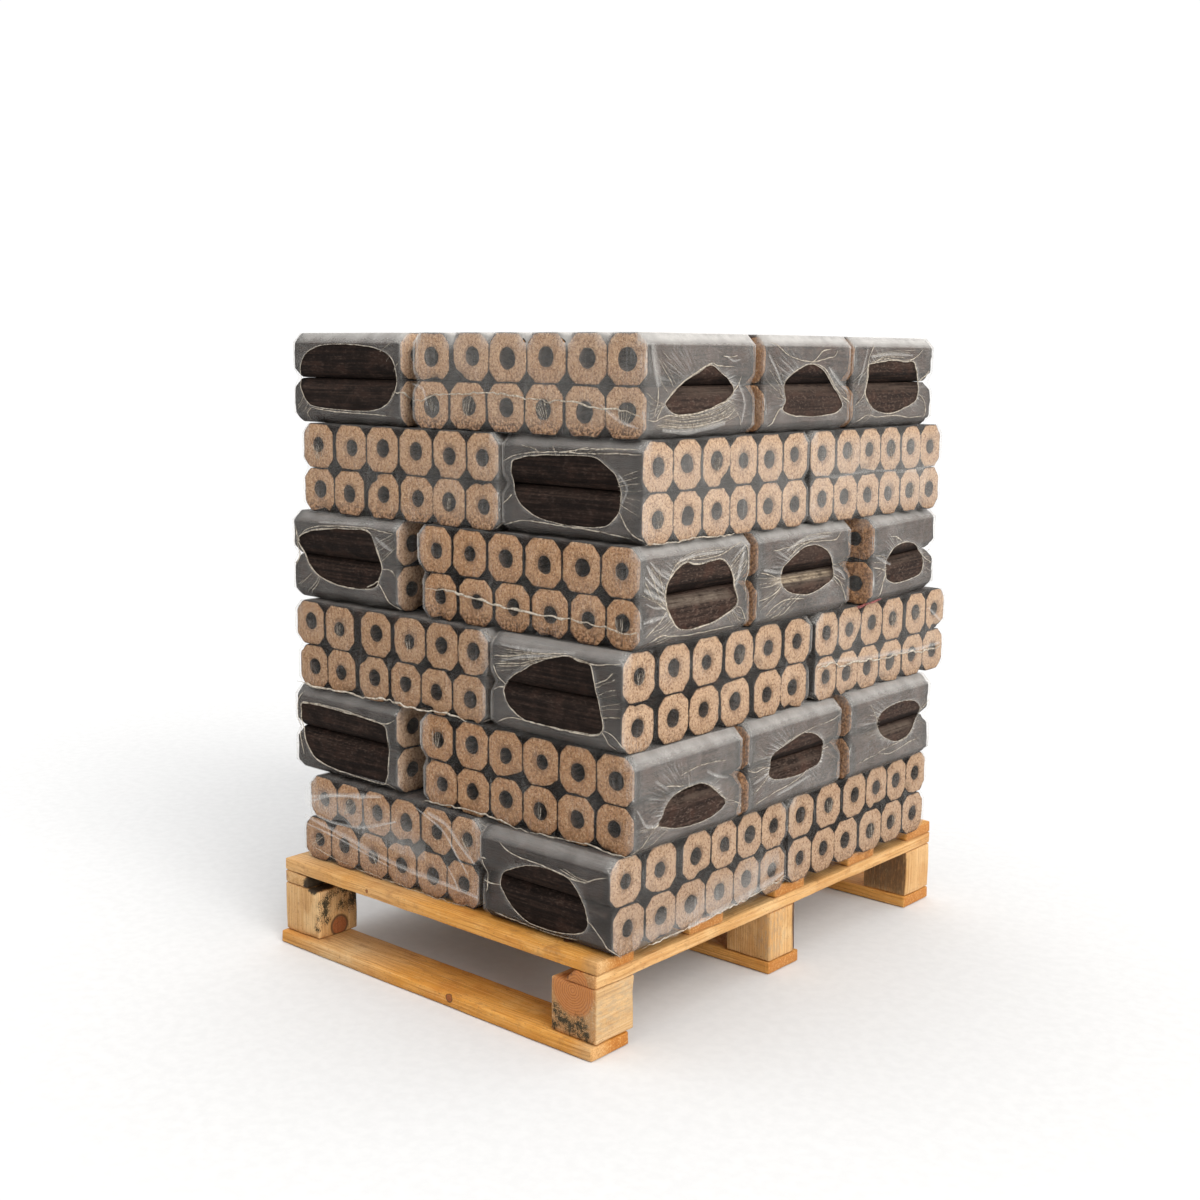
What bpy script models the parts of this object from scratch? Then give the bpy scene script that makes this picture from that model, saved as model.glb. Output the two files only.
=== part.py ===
"""A half pallet of oak briquettes.

A six-block timber pallet, 600 x 800 mm, carries thirty packs of twelve pressed briquettes in six courses.
Units are metres. X runs along the pallet's short side, Y along its long side and Z up.
The origin is on the floor, under the pallet's middle.
The front is the -Y side, where two blocks show, and the right is the +X side, where three blocks show.
"""

import math

import bmesh
import bpy
from mathutils import Matrix

# Pallet
PALLET_X = 0.600
PALLET_Y = 0.800
BOARD_THICK = 0.018
BLOCK_X = 0.075
BLOCK_Y = 0.072
BLOCK_HIGH = 0.071
STRINGER_WIDE = 0.052
BOARD_WIDE = 0.073
SEAT_GAP = 0.0003  # between pieces that touch

FRONT_BOTTOM_BOARD_OUT = 0.009  # it was nailed on standing out from under its blocks

# The five deck boards are nailed down unevenly: each one's front edge, from the pallet's front
DECK_BOARD_STARTS = (0.000, 0.183, 0.374, 0.561, 0.727)

# Briquettes, and the packs of two rows of six that they are shrink-wrapped in
BRIQUETTE_HIGH = 0.0623
BRIQUETTE_CHAMFER = 0.0135  # of the eight-sided section, across and down
ROWS = 2
COLUMNS = 6
BORE_RADIUS = 0.0115
BORE_SIDES = 6
BORE_DEPTH = 0.060  # the real bore runs right through; here it tapers to nothing at this depth
COURSE_STEP = ROWS * BRIQUETTE_HIGH + SEAT_GAP

# Where each course's packs lie, from the bottom course up. Each pack is one pair of runs:
# (start, end) across the pallet in X and (start, end) along it in Y.
# A column holds three packs end to end with their briquettes along Y.
# A pair holds two packs side by side with their briquettes along X.
COURSES = (
    {
        "column": ("left", (-0.284, 0.078), ((-0.375, -0.157), (-0.148, 0.070), (0.080, 0.298))),
        "pair": ("right", (0.090, 0.312), ((-0.389, -0.018), (-0.013, 0.357))),
    },
    {
        "column": ("right", (-0.046, 0.328), ((-0.366, -0.150), (-0.132, 0.084), (0.112, 0.332))),
        "pair": ("left", (-0.310, -0.092), ((-0.366, 0.000), (0.008, 0.374))),
    },
    {
        "column": ("left", (-0.304, 0.084), ((-0.368, -0.150), (-0.144, 0.074), (0.082, 0.300))),
        "pair": ("right", (0.094, 0.314), ((-0.372, 0.030), (0.037, 0.392))),
    },
    {
        "column": ("right", (-0.064, 0.324), ((-0.355, -0.137), (-0.117, 0.101), (0.124, 0.336))),
        "pair": ("left", (-0.322, -0.100), ((-0.355, 0.005), (0.012, 0.372))),
    },
    {
        "column": ("left", (-0.303, 0.086), ((-0.350, -0.132), (-0.126, 0.092), (0.100, 0.318))),
        "pair": ("right", (0.090, 0.320), ((-0.347, -0.002), (0.003, 0.350))),
    },
    {
        "column": ("right", (-0.076, 0.323), ((-0.346, -0.130), (-0.118, 0.090), (0.098, 0.310))),
        "pair": ("left", (-0.324, -0.099), ((-0.346, 0.010), (0.016, 0.372))),
    },
)
# Packs that were set down askew, in degrees about their middles, seen from above
TURNS = {
    "course_4_pack_right_back": 6.5,
    "course_3_pack_left_back": -1.5,
    "course_5_pack_left_middle": 0.8,
    "course_2_pack_left_back": 1.0,
}
COLUMN_PLACES = ("front", "middle", "back")
PAIR_PLACES = ("front", "back")

BOTTOM_OF_LOAD = 3 * BOARD_THICK + BLOCK_HIGH  # one seat gap above the deck boards
BLOCK_CENTRES_X = {
    "left": -(PALLET_X - BLOCK_X) / 2,
    "right": (PALLET_X - BLOCK_X) / 2,
}
BLOCK_CENTRES_Y = {
    "front": -(PALLET_Y - BOARD_WIDE) / 2,
    "middle": 0.0,
    "back": (PALLET_Y - BOARD_WIDE) / 2,
}


def clear_scene():
    for old in list(bpy.data.objects):
        bpy.data.objects.remove(old)


def collection(name):
    made = bpy.data.collections.new(name)
    bpy.context.scene.collection.children.link(made)
    return made


def material(name, colour, roughness):
    made = bpy.data.materials.new(name)
    made.use_nodes = True
    shader = made.node_tree.nodes["Principled BSDF"]
    shader.inputs["Base Color"].default_value = (*colour, 1.0)
    shader.inputs["Roughness"].default_value = roughness
    shader.inputs["Metallic"].default_value = 0.0
    made.diffuse_color = (*colour, 1.0)
    return made


def add_object(name, mesh, place, finish):
    made = bpy.data.objects.new(name, mesh)
    if finish:
        mesh.materials.append(finish)
    place.objects.link(made)
    return made


def timber(name, size, low_corner, place, finish):
    """A sawn board or block: size and its lowest corner, in X, Y and Z."""
    mesh = bpy.data.meshes.new(name)
    shape = bmesh.new()
    bmesh.ops.create_cube(shape, size=1.0)
    bmesh.ops.scale(shape, vec=size, verts=shape.verts)
    shape.to_mesh(mesh)
    shape.free()
    made = add_object(name, mesh, place, finish)
    made.location = [low + side / 2 for low, side in zip(low_corner, size)]
    return made


def build_pallet(place, finish):
    """Three bottom boards, six blocks, two stringers and five deck boards, each layer on the one below."""
    bottom_of_blocks = BOARD_THICK
    bottom_of_stringers = bottom_of_blocks + BLOCK_HIGH
    bottom_of_deck = bottom_of_stringers + BOARD_THICK
    layer_thick = BOARD_THICK - SEAT_GAP
    for depth, centre_y in BLOCK_CENTRES_Y.items():
        out = FRONT_BOTTOM_BOARD_OUT if depth == "front" else 0.0
        timber(
            f"bottom_board_{depth}",
            (PALLET_X, BOARD_WIDE, layer_thick),
            (-PALLET_X / 2, centre_y - BOARD_WIDE / 2 - out, 0.0),
            place,
            finish,
        )
        for side, centre_x in BLOCK_CENTRES_X.items():
            timber(
                f"block_{side}_{depth}",
                (BLOCK_X, BLOCK_Y, BLOCK_HIGH - SEAT_GAP),
                (centre_x - BLOCK_X / 2, centre_y - BLOCK_Y / 2, bottom_of_blocks),
                place,
                finish,
            )
    for side, start_x in (("left", -PALLET_X / 2), ("right", PALLET_X / 2 - STRINGER_WIDE)):
        timber(
            f"stringer_{side}",
            (STRINGER_WIDE, PALLET_Y, layer_thick),
            (start_x, -PALLET_Y / 2, bottom_of_stringers),
            place,
            finish,
        )
    for number, start_y in enumerate(DECK_BOARD_STARTS, 1):
        timber(
            f"deck_board_{number}",
            (PALLET_X, BOARD_WIDE, layer_thick),
            (-PALLET_X / 2, start_y - PALLET_Y / 2, bottom_of_deck),
            place,
            finish,
        )


def bundle_outline(pitch):
    """The outline of two rows of six eight-sided briquettes that stand flat to flat, seen at their ends.

    It starts at the bottom left and runs round anticlockwise. A V is left wherever two briquettes meet."""
    cut = BRIQUETTE_CHAMFER
    high = BRIQUETTE_HIGH
    right = COLUMNS * pitch
    top = ROWS * high
    points = []
    for column in range(COLUMNS):
        points += [(column * pitch + cut, 0.0), ((column + 1) * pitch - cut, 0.0)]
        if column < COLUMNS - 1:
            points.append(((column + 1) * pitch, cut))
    for row in range(ROWS):
        points += [(right, row * high + cut), (right, (row + 1) * high - cut)]
        if row < ROWS - 1:
            points.append((right - cut, (row + 1) * high))
    half_turn = [(right - x, top - y) for x, y in points]
    return [(x - right / 2, y) for x, y in points + half_turn]


def bundle_mesh(name, pitch, length):
    """The outline drawn out to the briquettes' length, along local Z, with its middle at the origin."""
    curve = bpy.data.curves.new(name, "CURVE")
    curve.dimensions = "2D"
    curve.fill_mode = "NONE"
    curve.extrude = length / 2
    outline = bundle_outline(pitch)
    spline = curve.splines.new("POLY")
    spline.points.add(len(outline) - 1)
    for point, (x, y) in zip(spline.points, outline):
        point.co = (x, y, 0.0, 1.0)
    spline.use_cyclic_u = True
    drawn = bpy.data.objects.new(name, curve)
    bpy.context.scene.collection.objects.link(drawn)
    graph = bpy.context.evaluated_depsgraph_get()
    mesh = bpy.data.meshes.new_from_object(drawn.evaluated_get(graph))
    bpy.data.objects.remove(drawn)
    shape = bmesh.new()
    shape.from_mesh(mesh)
    bmesh.ops.remove_doubles(shape, verts=shape.verts, dist=1e-5)
    # Each open end is filled with one face, which is then divided into one for each column of briquettes
    bmesh.ops.holes_fill(shape, edges=shape.edges)
    for column in range(1, COLUMNS):
        bmesh.ops.bisect_plane(
            shape,
            geom=shape.verts[:] + shape.edges[:] + shape.faces[:],
            dist=1e-5,
            plane_co=((column - COLUMNS / 2) * pitch, 0.0, 0.0),
            plane_no=(1.0, 0.0, 0.0),
        )
    bmesh.ops.recalc_face_normals(shape, faces=shape.faces)
    shape.to_mesh(mesh)
    shape.free()
    return mesh


def bore_cutter(name, pitch, length, end, place):
    """Twelve tapered bores in one end of a bundle, +1 or -1 along local Z."""
    past_end = 0.002
    taper = BORE_RADIUS / BORE_DEPTH
    shape = bmesh.new()
    for row in range(ROWS):
        for column in range(COLUMNS):
            made = bmesh.ops.create_cone(
                shape,
                cap_ends=True,
                segments=BORE_SIDES,
                radius1=BORE_RADIUS + past_end * taper,
                radius2=0.0,
                depth=BORE_DEPTH + past_end,
            )
            if end > 0:
                bmesh.ops.rotate(shape, verts=made["verts"], matrix=Matrix.Rotation(math.pi, 3, "X"))
            centre = (
                (column - (COLUMNS - 1) / 2) * pitch,
                (row + 0.5) * BRIQUETTE_HIGH,
                end * (length / 2 + (past_end - BORE_DEPTH) / 2),
            )
            bmesh.ops.translate(shape, verts=made["verts"], vec=centre)
    mesh = bpy.data.meshes.new(name)
    shape.to_mesh(mesh)
    shape.free()
    cutter = add_object(name, mesh, place, None)
    cutter.hide_render = True
    cutter.display_type = "WIRE"
    return cutter


def pack(name, along, across_run, length_run, bottom, open_end, places, finish):
    """One pack of twelve briquettes that lie along "x" or "y".

    across_run is its (start, end) across the briquettes, and length_run along them.
    open_end is the end that shows, +1 or -1 along local Z, or 0 where neighbours hide both."""
    parts_place, cutters_place = places
    pitch = (across_run[1] - across_run[0]) / COLUMNS
    length = length_run[1] - length_run[0]
    made = add_object(name, bundle_mesh(name, pitch, length), parts_place, finish)
    across = sum(across_run) / 2
    middle = sum(length_run) / 2
    quarter = math.pi / 2
    turn = math.radians(TURNS.get(name, 0.0))
    if along == "y":
        made.location = (across, middle, bottom)
        made.rotation_euler = (quarter, 0.0, turn)
    else:
        made.location = (middle, across, bottom)
        made.rotation_euler = (quarter, 0.0, quarter + turn)
    if open_end:
        cutter = bore_cutter(f"bores_of_{name}", pitch, length, open_end, cutters_place)
        cutter.location = made.location
        cutter.rotation_euler = made.rotation_euler
        bores = made.modifiers.new("bores", "BOOLEAN")
        bores.operation = "DIFFERENCE"
        bores.solver = "EXACT"
        bores.object = cutter
    return made


def build_course(number, course, places, finish):
    """A column of three packs along Y, and beside it a pair of packs along X."""
    bottom = BOTTOM_OF_LOAD + (number - 1) * COURSE_STEP
    side, across_run, length_runs = course["column"]
    open_ends = {"front": 1, "middle": 0, "back": -1}
    for where, length_run in zip(COLUMN_PLACES, length_runs):
        name = f"course_{number}_pack_{side}_{where}"
        pack(name, "y", across_run, length_run, bottom, open_ends[where], places, finish)
    side, length_run, across_runs = course["pair"]
    outer_end = 1 if side == "right" else -1
    for where, across_run in zip(PAIR_PLACES, across_runs):
        name = f"course_{number}_pack_{side}_{where}"
        pack(name, "x", across_run, length_run, bottom, outer_end, places, finish)


def main():
    clear_scene()
    parts_place = collection("pallet_of_oak_briquettes")
    cutters_place = collection("bore_cutters")
    pine = material("pallet_timber", (0.72, 0.46, 0.20), 0.75)
    oak = material("oak_briquette", (0.47, 0.30, 0.18), 0.90)
    build_pallet(parts_place, pine)
    for number, course in enumerate(COURSES, 1):
        build_course(number, course, (parts_place, cutters_place), oak)


main()
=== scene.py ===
"""Looks of a pallet of oak briquettes: thirty shrink-wrapped packs of twelve on a half-size pallet."""

import math

import bpy
import numpy as np
from mathutils import Matrix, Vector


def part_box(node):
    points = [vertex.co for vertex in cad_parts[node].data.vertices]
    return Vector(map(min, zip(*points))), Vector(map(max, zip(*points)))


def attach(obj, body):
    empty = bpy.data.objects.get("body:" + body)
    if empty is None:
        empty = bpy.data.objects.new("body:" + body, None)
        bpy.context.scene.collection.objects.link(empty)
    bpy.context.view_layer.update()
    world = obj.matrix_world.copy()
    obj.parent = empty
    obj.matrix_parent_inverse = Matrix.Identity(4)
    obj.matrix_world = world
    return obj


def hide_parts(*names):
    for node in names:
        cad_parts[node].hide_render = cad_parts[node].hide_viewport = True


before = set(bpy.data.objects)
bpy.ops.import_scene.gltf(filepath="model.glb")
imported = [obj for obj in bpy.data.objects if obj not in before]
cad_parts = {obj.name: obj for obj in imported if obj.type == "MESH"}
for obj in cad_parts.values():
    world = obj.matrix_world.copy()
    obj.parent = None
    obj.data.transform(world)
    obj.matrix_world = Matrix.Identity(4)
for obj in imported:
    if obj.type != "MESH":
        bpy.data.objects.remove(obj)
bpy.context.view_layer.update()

# A millimetre in metres, and a full turn.
MM = 0.001
TURN = 2 * math.pi

# The camera, fitted to the pallet's and the packs' corners.
PHOTO_WIDE = 1200
FOCAL_PX = 1592.0
CAMERA_AT = (1.498, -1.776, 0.851)
CAMERA_YAW, CAMERA_PITCH, CAMERA_ROLL = 41.02, -8.86, 0.46
SENSOR = 36.0

# The load: its courses, the briquettes across a pack, and where a pack lies in its course.
COURSES = 6
PACK_COLUMNS = 6
PLACES = ("front", "middle", "back")

# A briquette, in metres: half its width, the width of its chamfers, its bore's radius and how much that
# varies, how far the bore lies off the middle and how much shorter than the pack it may be. The higher
# ROUNDING is, the sharper are its corners.
BRIQUETTE_REACH = 0.031
CHAMFER = 0.0135
BORE = 0.0110
BORE_VARIES = 0.0012
BORE_OFF = 0.0022
SHORTER = 0.0018
ROUNDING = 54.0

# Clearances in metres: over and under a row, half the gap between neighbours, and from the pack's sides and
# ends. ROWS_VARY is how far a briquette may lie off its even place where no rows are given.
ROW_CLEAR = 0.0001
COLUMN_CLEAR = 0.0002
OUTER_CLEAR = 0.0006
ROWS_VARY = 0.0012

# Wear, in metres: how ragged the ends' edges are, and how much more in the packs behind; chips off an end's
# edge and tears at its bore, each from the smallest to the largest, with how wide they are in radians and how
# often they come; and the share by which the outside and the bore are uneven.
CRUMBS, RAGGED, BACK_RAGGED = 0.0005, 0.0006, 0.0009
CHIP, CHIP_WIDE, CHIP_OFTEN, BACK_CHIP_OFTEN, CHIP_LOWER = (0.002, 0.006), (0.22, 0.5), 0.30, 0.75, 1.3
TEAR, TEAR_WIDE, TEAR_OFTEN = (0.001, 0.003), 0.6, 0.25
SIDES_SWELL, BORE_SWELLS = 0.038, 0.07

# Rings of points round a briquette, from the middle of its side over an end and into the bore: how far the
# ring lies in from the outside, how far it is on the way to the bore's wall, and its distance from the end.
# Those nearer to the end than AT_END are ragged.
RINGS = (
    (0.0, 0.0, 0.006), (0.0, 0.0, 0.0012), (0.0007, 0.0, 0.0002), (0.0040, 0.0, 0.0),
    (0.0, 0.52, 0.0), (-0.0026, 1.0, 0.0001), (0.0, 1.0, 0.0010), (0.0, 1.0, 0.0080))
AT_END = 0.005

# The material slots of the faces after each ring, over both ends: 0 is the end, 1 the side and 2 the bore.
RING_SLOTS = (1, 1, 0, 0, 0, 0, 2, 2, 2, 0, 0, 0, 0, 1, 1, 1)

# The looks of the packs that lie along X and of those that lie along Y. Shades are painted shade over their
# ends, mostly more in the lower courses, and warmths are how orange their ends are, from course 1 to course
# 6.
# The hazes are how solid the film looks on the sides, and on the chamfers over them in the lower courses and
# in the uppermost one; the higher hazes of the packs along Y, and those on the chamfers, are painted sheen.
# Crimps are how much it is wrinkled toward the openings, at the ends of the sides and on the chamfers.
ROW_LOOKS = dict(
    painted_shades=(0.15, 0.08, 0.05, 0.14, 0.0, 0.0), warmths=(0.0, 0.3, 0.0, 0.4, 0.0, 0.5),
    side_haze_and_sheen=0.085, up_painted_sheen=0.15, uppermost_painted_sheen=0.24, crimps=(0.02, 0.10, 0.0))
COLUMN_LOOKS = dict(
    painted_shades=(0.14, 0.16, 0.19, 0.08, 0.03, 0.0), warmths=(0.45, 0.6, 0.0, 0.5, 0.0, 0.0),
    side_haze_and_sheen=0.115, up_painted_sheen=0.24, uppermost_painted_sheen=0.38, crimps=(0.20, 0.26, 0.04))
# END_CRIMP is how strong the fine wrinkles over the ends are; their bright streaks are painted glints.
END_CRIMP = 0.08
# Painted shade over the ends in the gaps between the packs along Y, below the uppermost course, and how
# orange those ends are.
BACK_PAINTED_SHADE, BACK_WARMTH = 0.12, 0.8
STAIN, UPPER_ROW_STAIN = 0.5, 0.4

# How solid the film looks elsewhere: over the ends, on the edges over them, at the ends of the sides, at the
# openings and where it dips over the uppermost edges, on an end that is seen and on others; the white of
# those dips is painted light, as if shone through. The lowest course's sides are clearer. The ends' feet and
# the strips under their upper edges are clearer too, as painted shade, and below the uppermost course the
# edges over the ends are less solid, painted shade under the course above. Hems and creases look fainter in
# the second course.
END_HAZE = 0.05
TOP_HAZE, UPPERMOST_TOP_HAZE = 0.05, 0.15
EDGE_HAZE, OPENING_HAZE = 0.08, 0.10
BRINK_PAINTED_LIGHT, HIDDEN_BRINK_PAINTED_LIGHT = 0.72, 0.22
LOWEST_SIDE_HAZE, CLEARER = 0.65, 0.75
FAINT_COURSE, FAINT = 2, 0.6
HEM_SHOWN, FAINT_HEM_SHOWN, ROW_HEM_SHOWN = 0.92, 0.55, 0.8
CREASE_SHOWN, FAR_CREASE_SHOWN = 0.85, 0.6

# The film is a sleeve round the ends, the top and the bottom, open toward both sides, where it shrinks in
# over the outer briquettes and leaves an opening. Its radii and distances are in metres. The first two count
# the points round the sleeve, the next two its rows across a pack that is seen well or badly. CAP_ROWS are
# the rows over a side, from the opening to the side's edge.
END_STEPS, FLAT_STEPS = 20, 16
FINE_ROWS, COARSE_ROWS = 84, 14
CAP_ROWS = (1.0, 0.985, 0.95, 0.89, 0.80, 0.68, 0.54, 0.40, 0.26, 0.14, 0.05)
FILM_OFF = 0.0003
SIDE_MARKS_OFF, END_MARKS_OFF, FOLD_OFF = 0.0007, 0.0009, 0.0008
RIM, SEAM, CREASE, FAR_CREASE, PLEAT, RED_EDGE = 0.00048, 0.0011, 0.00056, 0.00045, 0.00032, 0.0013
THIN_CREASES = (0.00022, 0.00050)

# How deep the film is drawn in, in metres: between the rows on a side, the same toward the ends, between the
# rows at the ends, between the columns at the ends and on top, and in the uppermost course's edge. Then how
# wide those dips are, how far they reach in from the sides, the ends and the edges, and how high the film's
# swellings and pleats are.
WAIST_SIDE, WAIST_SIDE_END, WAIST_END = 0.0012, 0.0036, 0.0042
VALLEY_END, VALLEY_MIDDLE, VALLEY_TOP, VALLEY_EDGE = 0.0022, 0.0006, 0.0016, 0.009
DIP_WIDE, EDGE_DIP_WIDE = 0.0085, 0.0068
NEAR_SIDE, NEAR_END, NEAR_EDGE, EDGE_SLOPE = 0.010, 0.013, 0.010, 0.017
SWELLS = ((0.00032, 0.030), (0.00018, 0.009))
PLEATS_HIGH = 0.0010

# How wide the zones are in which the film looks different, in metres: the sides, the ends, the edges between
# them, the edges over the ends, their feet, the strips under the edges, and the uppermost edges' dips.
SIDE_ZONE, END_ZONE, CORNER_ZONE, TOP_ZONE, FOOT_ZONE = 0.006, 0.004, 0.0025, 0.003, 0.010
UNDER_EDGE_HIGH, UNDER_EDGE_DEEP = 0.013, 0.008
BRINK_WIDE, BRINK_HIGH, BRINK_DEEP = 0.010, 0.020, 0.016
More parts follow.
